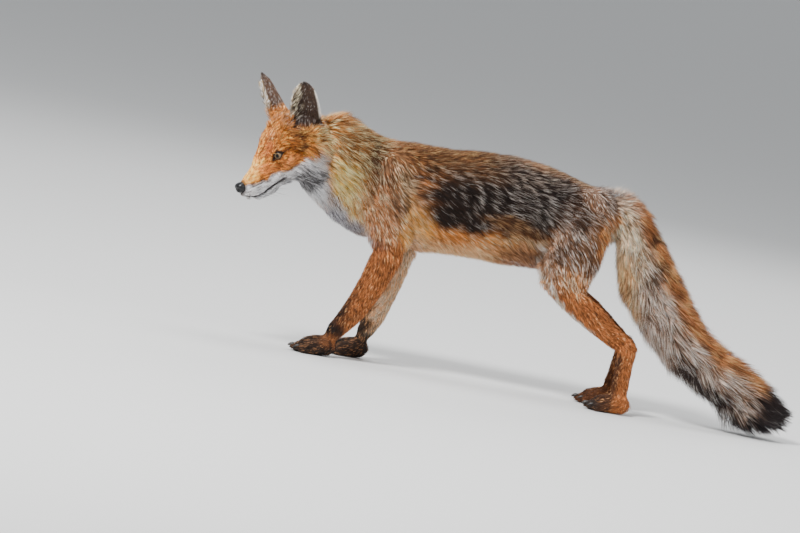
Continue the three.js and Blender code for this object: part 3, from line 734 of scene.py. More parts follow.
def one_body():
    whole = bmesh.new()
    for name in (*FLESH, *APART):
        part = bmesh.new()
        part.from_mesh(nodes[name].data)
        bmesh.ops.remove_doubles(part, verts=part.verts, dist=WELD)
        part.normal_update()
        for v in part.verts:
            v.co += v.normal * SMOOTH_SWELL
        mesh = new_mesh("part", part)
        whole.from_mesh(mesh)
        bpy.data.meshes.remove(mesh)
    body = new_object("flesh", new_mesh("flesh", whole))
    remesh = body.modifiers.new("one_skin", "REMESH")
    remesh.mode = "VOXEL"
    remesh.voxel_size = VOXEL
    return finished(body)


def thinned(mesh, share, keep):
    """Fewer faces where keep is 0."""
    body = new_object("flesh", mesh)
    group = body.vertex_groups.new(name="coarse")
    for level in (0.25, 0.5, 0.75, 1.0):
        rows = np.nonzero(np.abs(1 - keep - level) <= 0.125)[0]
        group.add(rows.tolist(), level, "REPLACE")
    thin = body.modifiers.new("thin", "DECIMATE")
    thin.ratio = share
    thin.vertex_group = group.name
    thin.use_collapse_triangulate = True
    return finished(body)


def refined(mesh, choose):
    """Splits the edges whose ends choose() picks."""
    bm = bmesh.new()
    bm.from_mesh(mesh)
    bmesh.ops.triangulate(bm, faces=bm.faces)
    picked = choose(from_scene(np.array([v.co for v in bm.verts])))
    edges = [e for e in bm.edges if picked[e.verts[0].index] and picked[e.verts[1].index]]
    bmesh.ops.subdivide_edges(bm, edges=edges, cuts=1, use_grid_fill=True)
    bmesh.ops.triangulate(bm, faces=[f for f in bm.faces if len(f.verts) > 3])
    bm.to_mesh(mesh)
    bm.free()
    return mesh


def near_lines(reach):
    """Picks the places within about `reach` mm of the nose, the eyes and the lips."""

    def choose(p):
        q = in_head(p)
        close = away(q, NOSE_AT) < 12 + reach
        for s in SIDES:
            close |= away(q, EYE_AT[s]) < 12 + reach
        return close | ((mouth_distance(q) < 1.2 + reach / 2) & (q[:, 0] < 0))

    return choose


def near_eyes(p):
    q = in_head(p)
    close = [(away(q, EYE_AT[s]) < 12.5) & ((q - EYE_AT[s]) @ eye_axes(s)[2] > 0) for s in SIDES]
    return np.max(close, axis=0)


def near_toes(p):
    x, y, z = p.T
    toe = np.zeros(len(p), bool)
    for ends_at, mid, half in TOES:
        toe |= (np.abs(x - ends_at - 13) < 19) & (np.abs(y - mid) < half + 4) & (np.abs(z - 17) < 15)
    return toe


def skin_zones(p):
    """Where the body is face, legs, ears and heels, each 0 to 1."""
    x, y, z = p.T
    q = in_head(p)
    face = step(q[:, 0], 66, 52) * step(length(q), 150, 130)
    face = np.maximum(face, step(q[:, 2], 30, 40) * step(away(q, (52, 0, 60)), 90, 80))
    legs = step(z, 190, 150) * step(x, 470, 460)
    tail = step(x, 400, 430) * step(z + 0.9 * (x - 430), 200, 230)
    legs *= 1 - tail * step(x, 425, 455)
    heels = np.zeros(len(p))
    for ends_at, mid, half in TOES:
        heel = step(x, ends_at + 22, ends_at + 32) * step(x, ends_at + 90, ends_at + 78)
        heels = np.maximum(heels, heel * step(np.abs(y - mid), half + 8, half + 3) * step(z, 72, 54))
    return face, legs, ear_zone(q), heels


def smoothed(p, ends, face, legs, ears, heels):
    amount = (1 - 0.75 * np.clip(face + legs * (1 - 0.8 * heels), 0, 1)) * (1 - 0.7 * ears)
    p = relaxed(p, ends, amount, BODY_ROUNDS)
    p = relaxed(p, ends, (np.clip(face, 0, 1) * 0.5 + legs * 0.5) * (1 - 0.8 * ears), FACE_ROUNDS)
    for _ in range(HEEL_ROUNDS):
        p = p + (averaged(p, ends) - p) * (0.55 * heels)[:, None]
    for ends_at, mid, half in TOES[:2]:  # the wrists stand a little further forward
        mine = step(np.abs(p[:, 1] - mid), half + 6, half + 3) * step(p[:, 2], 72, 22)
        mine = mine * step(p[:, 0], ends_at + 110, ends_at + 96)
        p[:, 0] -= 9 * mine * step(p[:, 0], ends_at + 40, ends_at + 66)
    return p


def widened_ears(q):
    """The ears a little wider and their tips a little lower."""
    for s, ear in EARS.items():
        share, _, out, up, ahead, _ = ear_place(q, s)
        mine = (q[:, 1] * s > 0) * step(share, 0.5, 0.9) * step(np.abs(out), 30, 24)
        wide = (q - np.array(ear["base"])) @ ahead
        over = np.maximum(share - 0.94, 0) * np.linalg.norm(np.subtract(ear["tip"], ear["base"]))
        q = q + (ahead * (wide * 0.16)[:, None] - up * (0.45 * over)[:, None]) * mine[:, None]
    return q


def drawn_in(mesh, p, ends, ears):
    """The skin drawn in by the depth of the coat that will stand on it."""
    n = calmed(facing(mesh), ends, NORMAL_ROUNDS)
    depth = lie(p)[1][:, 1][:, None]
    for _ in range(DEPTH_ROUNDS):
        depth = (averaged(depth, ends) + depth) / 2
    depth = depth[:, 0] * step(p[:, 2], 0.5, 4.0) * (1 - 0.9 * ears) * (1 - 0.8 * step(p[:, 2], 40, 26))
    depth = depth + SMOOTH_SWELL * 1000 * (1 - ears)
    q = widened_ears(in_head(p))
    p = from_head(q)
    for s in SIDES:
        depth *= 0.35 + 0.65 * step(away(q, EYE_AT[s]), 12, 20)
    depth *= 0.3 + 0.7 * step(away(q, NOSE_AT), 9, 16)
    depth *= 1 - puffed(p)[0]
    return p - n * depth[:, None], q


def skin_mesh():
    mesh = one_body()
    ends = edge_ends(mesh)
    p = from_scene(spots(mesh))
    face, legs, ears, heels = skin_zones(p)
    p = smoothed(p, ends, face, legs, ears, heels)
    place(mesh, to_scene(p))
    ears = ear_zone(in_head(p))
    p, q = drawn_in(mesh, p, ends, ears)
    p = relaxed(p, ends, (1 - 0.6 * np.clip(face, 0, 1)) * (1 - 0.8 * ears), LAST_ROUNDS)
    p[:, 2] = np.maximum(p[:, 2], SOLE)
    place(mesh, to_scene(p))
    fine = np.maximum(face * step(q[:, 0], 22, 8), ears)
    keep = np.clip(np.max([fine, face * 0.5, legs * 0.4 + step(p[:, 2], 60, 30) * 0.2], axis=0), 0, 1)
    mesh = thinned(mesh, SKIN_SHARE, keep)
    for choose in (near_toes, near_lines(5), near_lines(2), near_eyes):
        mesh = refined(mesh, choose)
    sculpt_toes(mesh)
    sculpt_head(mesh)
    return mesh


def sculpt_toes(mesh):
    p = from_scene(spots(mesh))
    n = facing(mesh)
    for ends_at, mid, half in TOES:
        mine = step(p[:, 0], ends_at + 40, ends_at + 26) * step(np.abs(p[:, 1] - mid), half + 5, half + 2)
        mine = mine * step(p[:, 2], 34, 28) * step(p[:, 0], ends_at - 12, ends_at - 8)
        for gap in TOE_GAPS:
            cut = bell(p[:, 1] - mid - gap * half, 2.1) * mine * step(p[:, 2], 0.5, 5)
            down = UP * (5.0 * cut * np.clip(n[:, 2] + 0.2, 0, 1))[:, None]
            p = p - down - np.minimum(n * np.array([1, 0, 0]), 0) * (4.0 * cut)[:, None]
        knuckle = bell(p[:, 0] - ends_at - 15, 5.0) * mine * np.clip(n[:, 2], 0, 1)
        p = p + UP * (1.6 * knuckle)[:, None]
    place(mesh, to_scene(p))


def with_mouth(q, n, on_head):
    """A narrow groove between the lips, a full lower lip, the chin, and the cleft under the nose."""
    gap = mouth_distance(q)
    front = on_head * step(q[:, 0], 2, -8) * step(q[:, 0], -74, -66)
    q = q - n * (1.9 * (bell(gap, 1.3) * front))[:, None]
    q = q + n * (0.45 * (bell(gap - 3.2, 1.6) * front))[:, None]
    chin = on_head * step(q[:, 2] + 0.25 * np.abs(q[:, 0] + 40), -41, -47) * step(q[:, 0], -70, -62)
    q[:, 2] -= 3.0 * (chin * step(q[:, 0], 6, -16) * step(gap, 0.6, 2.4))
    cleft = bell(q[:, 1], 1.1) * step(q[:, 2], -34, -37) * step(q[:, 2], -49, -45)
    cleft = cleft * step(q[:, 0], -58, -64) * on_head
    return q - n * (1.2 * cleft)[:, None]


def with_nose_seat(q, on_head):
    """The skin behind the nose pad, sunk so that the pad covers it."""
    nose = NOSE_AT
    seat = (q - nose) / NOSE_HALF
    sunk = step(length(seat), 1.3, 1.02) * step(seat[:, 0], 0.7, 0.2) * on_head
    return q + sunk[:, None] * (nose + (q - nose) * 0.55 + np.array([2.5, 0, 0]) - q)


def with_lids(q, s):
    """The skin round one eye brought to the ball: a hollow opening, two lids and a fold over the upper one."""
    eye = EYE_AT[s]
    rel = q - eye
    far = length(rel)
    ray = rel / np.maximum(far, 1e-6)[:, None]
    u, v, w = (ray @ axis for axis in eye_axes(s))
    reach = np.where(u < 0, 0.86, 0.78)
    arch = np.clip(1 - (u / reach) ** 2, 0, 1)
    top, bottom = 0.44 * arch**0.8, -0.6 * arch**0.9
    beyond = np.maximum(np.maximum(v - top, bottom - v), np.abs(u) - reach) * EYE_RADIUS
    beyond = np.where(w > 0.05, beyond, 20.0)
    lid = EYE_RADIUS + 0.25 + 1.25 * step(beyond, 0.0, 1.5)
    lid = lid + np.where(v > 0, 0.35, 0.0) * step(beyond, 0.3, 1.5)
    lid = lid - 0.7 * bell(beyond - 4.2, 1.1) * step(v, 0.0, 0.3)
    blend = step(beyond, 2.2, 9.5)
    target = np.where(beyond < 0, EYE_RADIUS - 2.2, lid * (1 - blend) + far * blend)
    moved = np.where((far < 32) & (w > 0.05), target, far)
    return eye + ray * moved[:, None]


def sculpt_head(mesh):
    p = from_scene(spots(mesh))
    q = in_head(p)
    n = calmed(facing(mesh), edge_ends(mesh), 6) @ HEAD_TURN
    on_head = length(q) < 130
    q = with_nose_seat(with_mouth(q, n, on_head), on_head)
    for s in SIDES:  # the brow, and the hollow in front of the eye
        q = q + n * (1.5 * mound(q, (-6.0, 17.0 * s, 15.0), (11, 7, 5)))[:, None]
        q = q - n * (1.0 * mound(q, (-22.0, 13.0 * s, -4.0), (9, 6, 7)))[:, None]
    for s in SIDES:
        q = with_lids(q, s)
    place(mesh, to_scene(np.where(on_head[:, None], from_head(q), p)))


# ---------------------------------------------------------------- coat
# each coat piece: the groups of guides it covers, its side, its slot, how many triangles
COATS = [
    ("coat_face", ("face",), 0, "red_coat", 180000),
    ("coat_ruff", ("ruff",), 0, "red_coat", 105000),
    ("coat_throat", ("jaw", "throat"), 0, "white_coat", 115000),
    ("coat_ears", ("ears",), 0, "dark_coat", 60000),
    ("coat_neck", ("neck",), 0, "red_coat", 190000),
    ("coat_left_flank", ("trunk",), -1, "grizzled_coat", 178000),
    ("coat_right_flank", ("trunk",), 1, "grizzled_coat", 178000),
    ("coat_forelegs", ("fore",), 0, "red_coat", 125000),
    ("coat_hind_legs", ("hind",), 0, "red_coat", 140000),
    ("coat_paws", ("paws",), 0, "dark_coat", 40000),
    ("coat_brush", ("tail",), 0, "grizzled_coat", 190000),
]
TUFT_TRIANGLES = 6
TUFT_MIDDLE = (0.4,)  # where along a tuft its ring stands
TUFTS_A_LEADER = 34  # tufts that lean towards one leader's tip
TUFT_BEND = 0.42
TIP_FLOOR = 2.5  # tips lower than this are pressed flat above the floor
TAIL_ROOT = (374.0, 0.0, 322.0)
DARK_TIP = (30, 22, 18)
# from, to and reach of each strip of the unwrapped skin
STRIPS = [
    ((-215, -95, 260), (-105, -38, 318), 40), ((-105, -38, 318), (30, 0, 272), 60),
    ((30, 0, 272), (400, 0, 290), 62), ((400, 0, 290), (441, 2, 246), 40),
    ((441, 2, 246), (526, 9, 135), 40), ((526, 9, 135), (700, 19, 46), 40),
    ((52, -45, 300), (0, -35, 20), 20), ((60, 45, 300), (45, 35, 20), 20),
    ((0, -35, 20), (-60, -35, 8), 20), ((45, 35, 20), (-10, 35, 8), 20),
    ((345, -40, 300), (350, -42, 170), 20), ((345, 40, 300), (350, 42, 170), 20),
    ((350, -42, 170), (450, -37, 105), 20), ((350, 42, 170), (450, 37, 105), 20),
    ((450, -37, 105), (420, -37, 10), 20), ((450, 37, 105), (405, 37, 10), 20),
    *((from_head(ear["base"]), from_head(ear["tip"]), 20) for ear in EARS.values()),
]
STRIPS_A_ROW = 5


def leant(normal, flow, sway):
    """The way each tuft leans over the skin, and the way across it."""
    tangent = flow - normal * np.sum(flow * normal, axis=1)[:, None]
    short = length(tangent) < 0.15
    tangent[short] = np.cross(normal, np.array([0.3, 1.0, 0.2]))[short]
    tangent = unit(tangent)
    tangent = unit(tangent + np.cross(normal, tangent) * sway[:, None])
    return tangent, unit(np.cross(normal, tangent))


def tip_pull(root, tips, hair, gather, rng):
    """How far each tip is drawn to the tip of the leader next to it."""
    if gather <= 0:
        return np.zeros((len(root), 3))
    leaders = rng.choice(len(root), max(1, len(root) // TUFTS_A_LEADER), replace=False)
    tree = kdtree.KDTree(len(leaders))
    for k, i in enumerate(leaders):
        tree.insert(Vector(root[i]), k)
    tree.balance()
    chosen = leaders[np.array([tree.find(Vector(r))[1] for r in root])]
    gap = tips[chosen] - tips
    return gap * (np.minimum(1.0, 0.5 * hair / np.maximum(length(gap), 1e-6)) * gather)[:, None]


def tuft_faces(rings):
    """One tuft's triangles: vertex 0 is the root, then three for each ring, then the tip."""
    pairs = ((1, 2), (2, 3), (3, 1))
    faces = [(0, b, a) for a, b in pairs]
    for k in range(0, 3 * (rings - 1), 3):
        for a, b in pairs:
            faces += [(k + a, k + b, k + 3 + b), (k + a, k + 3 + b, k + 3 + a)]
    last = 3 * (rings - 1)
    return np.array(faces + [(last + a, last + b, 3 * rings + 1) for a, b in pairs])


def tuft_mesh(name, root, normal, flow, hair, width, lift, sway, hues, patch, gather, seed, stops=TUFT_MIDDLE):
    """Closed three-sided tufts that rise from the skin, bend over and taper to a point."""
    count = len(root)
    tangent, across = leant(normal, flow, sway)
    rise, run = np.sin(lift)[:, None], np.cos(lift)[:, None]

    def spine(t):
        height = rise * (t - TUFT_BEND * t * t) * 1.45
        return root + hair[:, None] * (tangent * run * t + normal * height) - normal * 0.4 * (1 - t)

    pull = tip_pull(root, spine(1.0), hair, gather, np.random.default_rng(seed))
    per = 3 * len(stops) + 2
    co, tint, uv = np.empty((count, per, 3)), np.empty((count, per, 3)), np.empty((count, per, 2))
    co[:, 0], tint[:, 0], uv[:, 0] = spine(0.0), hues[0], patch
    for k, t in enumerate(stops):
        ring = 3 * k + 1
        w = (width * (1.0 - 0.25 * k))[:, None]
        middle = spine(t) + pull * t * t
        for j, out in enumerate((-across * w * 0.5, across * w * 0.5, normal * w * 0.42)):
            co[:, ring + j] = middle + out
            uv[:, ring + j] = patch + np.array([0.0012 * (j - 1), 0.003 * t])
        tint[:, ring : ring + 3] = (hues[1] * (1 - t * k) + hues[2] * t * k)[:, None]
    co[:, -1], tint[:, -1], uv[:, -1] = spine(1.0) + pull, hues[2], patch + np.array([0.0, 0.003])
    pressed = TIP_FLOOR * np.exp(np.minimum(co[:, :, 2], TIP_FLOOR) / TIP_FLOOR - 1)
    co[:, :, 2] = np.where(co[:, :, 2] < TIP_FLOOR, pressed, co[:, :, 2])
    loops = (tuft_faces(len(stops))[None] + (np.arange(count) * per)[:, None, None]).reshape(-1)
    mesh = bpy.data.meshes.new(name)
    mesh.vertices.add(count * per)
    mesh.vertices.foreach_set("co", to_scene(co.reshape(-1, 3)).ravel())
    mesh.loops.add(len(loops))
    mesh.loops.foreach_set("vertex_index", loops)
    mesh.polygons.add(len(loops) // 3)
    mesh.polygons.foreach_set("loop_start", np.arange(0, len(loops), 3))
    mesh.update(calc_edges=True)
    coloured(mesh, "hair", tint.reshape(-1, 3))
    mesh.uv_layers.new(name="OFBake").data.foreach_set("uv", uv.reshape(-1, 2)[loops].ravel())
    return mesh


def bare_share(p, up):
    """0 on eyes, lips, nose and soles, under 1 at the groin, 1 elsewhere; `up` is how far the normals rise."""
    q = in_head(p)
    bare = np.ones(len(p))
    for s in SIDES:
        rel = q - EYE_AT[s]
        u, v, w = (rel @ axis for axis in eye_axes(s))
        ring = np.maximum(np.abs(v + 0.2) / (6.0 * np.clip(1 - (u / 10.6) ** 2, 0.02, 1)), np.abs(u) / 10.6)
        bare *= np.where((w > -3) & (length(rel) < 20), step(ring, 0.9, 1.05), 1.0)
    bare *= 1 - step(mouth_distance(q), 2.6, 1.6) * (length(q) < 100) * (q[:, 0] < -4)
    bare *= step(length((q - NOSE_AT) / np.array([11.0, 10.5, 10.5])), 0.95, 1.1)
    bare *= step(p[:, 2], 1.5, 4.0)
    groin = step(up, -0.3, -0.8) * step(p[:, 0], 200, 240) * step(p[:, 0], 345, 320) * step(p[:, 2], 180, 190)
    return bare * (1 - 0.55 * groin)


class Ground:
    """The skin's triangles, each with the share of the coat that grows on it."""

    def __init__(self, mesh):
        mesh.calc_loop_triangles()
        self.p, self.n = from_scene(spots(mesh)), unit(facing(mesh))
        self.tri = column(mesh.loop_triangles, "vertices", 3, np.int32)
        a, b, c = (self.p[self.tri[:, k]] for k in range(3))
        self.centre = self.p[self.tri].mean(axis=1)
        area = length(np.cross(b - a, c - a)) / 2
        _, numbers, self.group = lie(self.centre)
        on_ear = ear_zone(in_head(self.centre)) > 0.5
        self.group[on_ear] = GROUPS.index("ears")
        numbers[on_ear, 3] = 2.0
        self.crowd = numbers[:, 3] * area * bare_share(self.centre, self.n[self.tri].mean(axis=1)[:, 2])
        self.order = np.lexsort((self.centre[:, 1] // 12, self.centre[:, 0] // 12))

    def sow(self, groups, side, count, rng):
        """Roots and normals of this many tufts on the triangles of these groups."""
        wanted = np.isin(self.group, [GROUPS.index(g) for g in groups])
        if side:
            wanted &= self.centre[:, 1] * side > 0
        total = np.cumsum(np.where(wanted, self.crowd, 0.0)[self.order])
        marks = (np.arange(count) + rng.random(count)) / count * total[-1]
        rows = self.order[np.minimum(np.searchsorted(total, marks), len(self.order) - 1)]
        a, b = rng.random((2, count))
        over = a + b > 1
        a[over], b[over] = 1 - a[over], 1 - b[over]
        t = self.tri[rows]
        shares = ((0, a[:, None]), (1, b[:, None]), (2, (1 - a - b)[:, None]))
        return sum(self.p[t[:, k]] * w for k, w in shares), unit(sum(self.n[t[:, k]] * w for k, w in shares))


def trimmed_face_hair(root, hair):
    """Short hair beside the lips and the nose."""
    q = in_head(root)
    hair = np.where(q[:, 0] < 0, np.minimum(hair, mouth_distance(q) * 0.75 + 1.2), hair)
    return np.minimum(hair, 0.55 * np.maximum(away(q, NOSE_AT) - 8.5, 1.4) + 1.0)


def lay_ear_hair(root, normal, flow, hair, lift, rng):
    """Lays a fringe at each ear's front edge, short hair inside and longer hair at its foot."""
    q = in_head(root)
    for s in SIDES:
        share, front, _, up, ahead, opening = ear_place(q, s)
        mine = q[:, 1] * s > 0
        inner = mine & (normal @ HEAD_TURN @ opening > 0.05)
        outer = mine & ~inner
        fringe = inner & (front > 0.4) & (share < 0.8)
        flow[fringe] = unit(turned_from_head(up * 0.75 - ahead * 0.55 + opening * 0.25))
        hair[fringe] = 13.0 * rng.uniform(0.5, 1.1, fringe.sum())
        lift[fringe] = 0.35
        hair[inner & ~fringe] = 4.0
        rim = mine & (np.abs(front) > 0.85)
        lift[rim] = np.maximum(lift[rim], 0.25)
        hair[outer] = 5.0 + 9.0 * step(share[outer], 0.32, 0.06)
        foot = inner & (share < 0.16)
        hair[foot] = 11.0
        lift[foot | (outer & (share < 0.25))] = 0.42


def hair_hues(root, normal, flow, hair, slot, seed, rng):
    """Each tuft's colours at root, middle and tip."""
    count = len(root)
    colour, dark, pale, light = markings(root + flow * (0.55 * np.maximum(hair - 8, 0))[:, None], normal)
    patchy = waves(root, float(np.clip(np.median(hair) / 11, 1.6, 4.0)), seed, unit(flow.mean(axis=0)))
    dice = np.argsort(np.argsort(rng.random(count) + 0.3 * patchy)) / count
    bright = np.clip(rng.normal(1.0, 0.22, count) - 0.16 * patchy, 0.35, 1.75)[:, None]
    # The roots are darker than the rest of the tuft: partly the hair's own darker base, partly painted shade
    # between the strands.
    first, second, tip = colour * 0.4 * bright, colour * bright, colour * 1.12 * bright
    is_pale = dice < pale
    is_dark = (dice > 1 - dark) & ~is_pale
    held = 0.35 if slot == "grizzled_coat" else 0.75
    second[is_pale] = (second * (1 - held) + light * held * bright)[is_pale]
    tip[is_pale] = light[is_pale] * bright[is_pale] * 1.1
    second[is_dark] *= 0.42
    tip[is_dark] = tip[is_dark] * 0.18 + rgb(*DARK_TIP) * 0.5
    return [np.clip(v, 0.004, 0.95) for v in (first, second, tip)]


def grow_coat(ground, index, name, groups, side, slot, triangles):
    rng = np.random.default_rng(100 + index)
    count = triangles // TUFT_TRIANGLES
    root, normal = ground.sow(groups, side, count, rng)
    flow, data, _ = lie(root)
    hair, depth, width = data[:, 0], data[:, 1], data[:, 2]
    hair = hair * rng.uniform(0.62, 1.08, count)
    width = width * rng.uniform(0.65, 1.25, count)
    sway = 0.22 * waves(root, 34, 51) + 0.12 * waves(root, 11, 52) + rng.normal(0, 0.08, count)
    lift = np.arcsin(np.clip(depth / np.maximum(hair, 1e-3) / 0.84, 0.03, 0.75))
    lift *= rng.uniform(0.7, 1.12, count) * (1 + puffed(root)[1])
    stray = (rng.random(count) < 0.12) & (hair > 12)
    lift[stray] *= 1.3
    width = np.where(stray, width * 0.7, width)
    if "paws" in groups:
        for ends_at, _, _ in TOES:
            hair = np.where(np.abs(root[:, 0] - ends_at - 8) < 16, np.minimum(hair, 5.0), hair)
    if "ears" in groups:
        lay_ear_hair(root, normal, flow, hair, lift, rng)
    lift *= 1 + bell(away(root, TAIL_ROOT), 26) * (-0.6 if "tail" in groups else 1.1)
    if "tail" in groups:
        lift *= rng.uniform(1.05, 1.4, count)
        sway += 0.2 * waves(root, 13, 57)
    if "face" in groups:
        hair = trimmed_face_hair(root, hair)
    hues = hair_hues(root, normal, flow, hair, slot, 61 + index, rng)
    gather, patch = float(np.median(data[:, 4])), unwrapped(root)
    return tuft_mesh(name, root, normal, flow, hair, width, lift, sway, hues, patch, gather, 200 + index)


def unwrapped(p):
    """A place in the unit square for each skin place: along and round the nearest part's strip."""
    best = np.full(len(p), 1e9)
    flat = np.zeros((len(p), 2))
    for k, (a, b, reach) in enumerate(STRIPS):
        far, share = to_line(p, a, b)
        axis = unit(np.subtract(b, a))
        first = unit(np.cross(axis, [0.13, 0.97, 0.2]))
        second = np.cross(axis, first)
        rel = p - np.array(a)
        angle = np.arctan2(rel @ second, rel @ first) / (2 * math.pi) + 0.5
        rows = far / reach < best
        best = np.where(rows, far / reach, best)
        u = (k % STRIPS_A_ROW + 0.04 + 0.9 * (share * 0.94 + 0.03)) / STRIPS_A_ROW
        v = (k // STRIPS_A_ROW + 0.04 + 0.9 * angle) / math.ceil(len(STRIPS) / STRIPS_A_ROW)
        flat[rows] = np.stack([u, v], 1)[rows]
    return flat


# ---------------------------------------------------------------- finishes
def set_sockets(node, values):
    for socket, value in values.items():
        node.inputs[socket].default_value = value


def add_node(tree, kind, values=None, operation=None):
    node = tree.nodes.new(kind)
    if operation:
        node.operation = operation
    set_sockets(node, values or {})
    return node


def from_attribute(tree, name):
    node = add_node(tree, "ShaderNodeAttribute")
    node.attribute_name = name
    return node


def new_material(name, values):
    """A material, its node tree and its shader, with these values on the shader's sockets."""
    material = bpy.data.materials.new(name)
    material.use_nodes = True
    shader = material.node_tree.nodes["Principled BSDF"]
    set_sockets(shader, values)
    return material, material.node_tree, shader


def speckle_group():
    """Fine light and dark mottling over the surface: takes a colour, gives a colour."""
    group = bpy.data.node_groups.new("mottled", "ShaderNodeTree")
    face, link = group.interface, group.links.new
    face.new_socket("Colour", in_out="INPUT", socket_type="NodeSocketColor")
    for label, value in (("Scale", 200.0), ("Strength", 0.3)):
        face.new_socket(label, in_out="INPUT", socket_type="NodeSocketFloat").default_value = value
    face.new_socket("Colour", in_out="OUTPUT", socket_type="NodeSocketColor")
    face.new_socket("Height", in_out="OUTPUT", socket_type="NodeSocketFloat")
    given, out = add_node(group, "NodeGroupInput"), add_node(group, "NodeGroupOutput")
    where = add_node(group, "ShaderNodeTexCoord")
    noise = add_node(group, "ShaderNodeTexNoise", {"Detail": 3.0, "Roughness": 0.6})
    centred = add_node(group, "ShaderNodeMath", {1: 0.5}, "SUBTRACT")
    scaled = add_node(group, "ShaderNodeMath", {2: 1.0}, "MULTIPLY_ADD")
    tint = add_node(group, "ShaderNodeVectorMath", operation="SCALE")
    link(where.outputs["Object"], noise.inputs["Vector"])
    link(given.outputs["Scale"], noise.inputs["Scale"])
    link(noise.outputs["Fac"], centred.inputs[0])
    link(centred.outputs[0], scaled.inputs[0])
    link(given.outputs["Strength"], scaled.inputs[1])
    link(given.outputs["Colour"], tint.inputs[0])
    link(scaled.outputs[0], tint.inputs["Scale"])
    link(tint.outputs[0], out.inputs["Colour"])
    link(noise.outputs["Fac"], out.inputs["Height"])
    return group


MOTTLED = speckle_group()


def finish(name, colour, rough, specular, scale, strength, coat=0.0, bump=None):
    """A mottled finish. The colour is three numbers or an attribute's name; bump is its strength and depth."""
    values = {"Roughness": rough, "Specular IOR Level": specular, "Coat Weight": coat, "Coat Roughness": 0.03}
    material, tree, shader = new_material(name, values)
    link = tree.links.new
    mottle = tree.nodes.new("ShaderNodeGroup")
    mottle.node_tree = MOTTLED
    set_sockets(mottle, {"Scale": scale, "Strength": strength})
    if isinstance(colour, str):
        link(from_attribute(tree, colour).outputs["Color"], mottle.inputs["Colour"])
    else:
        set_sockets(mottle, {"Colour": (*rgb(*colour), 1)})
    link(mottle.outputs["Colour"], shader.inputs["Base Color"])
    if bump:
        relief = add_node(tree, "ShaderNodeBump", {"Strength": bump[0], "Distance": bump[1]})
        link(mottle.outputs["Height"], relief.inputs["Height"])
        link(relief.outputs["Normal"], shader.inputs["Normal"])
    return material


EYE_RINGS = [  # share of the way from the middle of the eye, and the colour there
    (0.0, (2, 2, 2)), (0.28, (3, 3, 3)), (0.34, (54, 40, 28)), (0.44, (112, 90, 64)), (0.56, (116, 98, 76)),
    (0.68, (80, 64, 48)), (0.74, (38, 28, 20)), (0.80, (10, 8, 8)), (1.0, (12, 10, 9)),
]


def eye_finish():
    """A wet eye: a dark upright pupil in an amber-grey iris, from the eye's own ring and spokes attributes; the
    ring also darkens the top of the iris as painted shade of the upper lid.
    """
    values = {"Roughness": 0.08, "Specular IOR Level": 0.12, "Coat Weight": 0.12, "Coat Roughness": 0.02}
    material, tree, shader = new_material("wet_eye", values)
    link = tree.links.new
    ramp = add_node(tree, "ShaderNodeValToRGB")
    rings = ramp.color_ramp.elements
    while len(rings) < len(EYE_RINGS):
        rings.new(0.5)
    for element, (at, colour) in zip(rings, EYE_RINGS):
        element.position = at
        element.color = (*rgb(*colour), 1)
    noise = add_node(tree, "ShaderNodeTexNoise", {"Scale": 9.0, "Detail": 4.0})
    spread = {"From Min": 0.3, "From Max": 0.7, "To Min": 0.55, "To Max": 1.3}
    lift = add_node(tree, "ShaderNodeMapRange", spread)
    scaled = add_node(tree, "ShaderNodeVectorMath", operation="SCALE")
    link(from_attribute(tree, "ring").outputs["Fac"], ramp.inputs["Fac"])
    link(from_attribute(tree, "spokes").outputs["Vector"], noise.inputs["Vector"])
    link(noise.outputs["Fac"], lift.inputs["Value"])
    link(ramp.outputs["Color"], scaled.inputs[0])
    link(lift.outputs["Result"], scaled.inputs["Scale"])
    link(scaled.outputs[0], shader.inputs["Base Color"])
    return material


# ---------------------------------------------------------------- eyes, nose, claws, whiskers
CLAW_GROWTH = (1.35, 1.12, 1.12)  # longer and a little thicker than the solid it replaces
WHISKER_ROWS = WHISKERS_A_ROW = 4
WHISKER_WIDTH = 0.34
WHISKER_STOPS = (0.28, 0.62)
WHISKER_COLOUR = (40, 32, 28)


def ball(name, across, around):
    bm = bmesh.new()
    bmesh.ops.create_uvsphere(bm, u_segments=across, v_segments=around, radius=1.0)
    return new_mesh(name, bm)


def make_eye(side, material):
    solid = "left_eye" if side < 0 else "right_eye"
    mesh = ball(f"{solid}_ball", 64, 48)
    d = spots(mesh)  # the ball's pole is the way it looks
    angle = np.degrees(np.arccos(np.clip(d[:, 2], -1, 1)))
    bulge = 0.75 * step(angle, 46, 12)
    co = sum(d[:, k : k + 1] * axis for k, axis in enumerate(eye_axes(side))) * (EYE_RADIUS + bulge)[:, None]
    place(mesh, to_scene(from_head(EYE_AT[side] + co)))
    ring = np.hypot(d[:, 0] * 1.42, d[:, 1] * 0.98) / np.maximum(np.hypot(d[:, 0], d[:, 1]), 1e-6)
    size = angle / 60.0
    shape = 1 + (ring - 1) * step(size, 0.62, 0.25)
    layer = mesh.attributes.new("ring", "FLOAT", "POINT")
    # the upper part of the iris is moved out into the darker rings: painted shade of the upper lid
    layer.data.foreach_set("value", (size * shape + 0.34 * step(d[:, 1], 0.05, 0.5)).astype(np.float32))
    flat = unit(d[:, :2])
    layer = mesh.attributes.new("spokes", "FLOAT_VECTOR", "POINT")
    layer.data.foreach_set("vector", np.column_stack([flat[:, 0] * 2, flat[:, 1] * 2, size * 0.6]).ravel())
    faced_outwards(mesh)
    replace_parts(new_piece(mesh.name, mesh, material), solid)


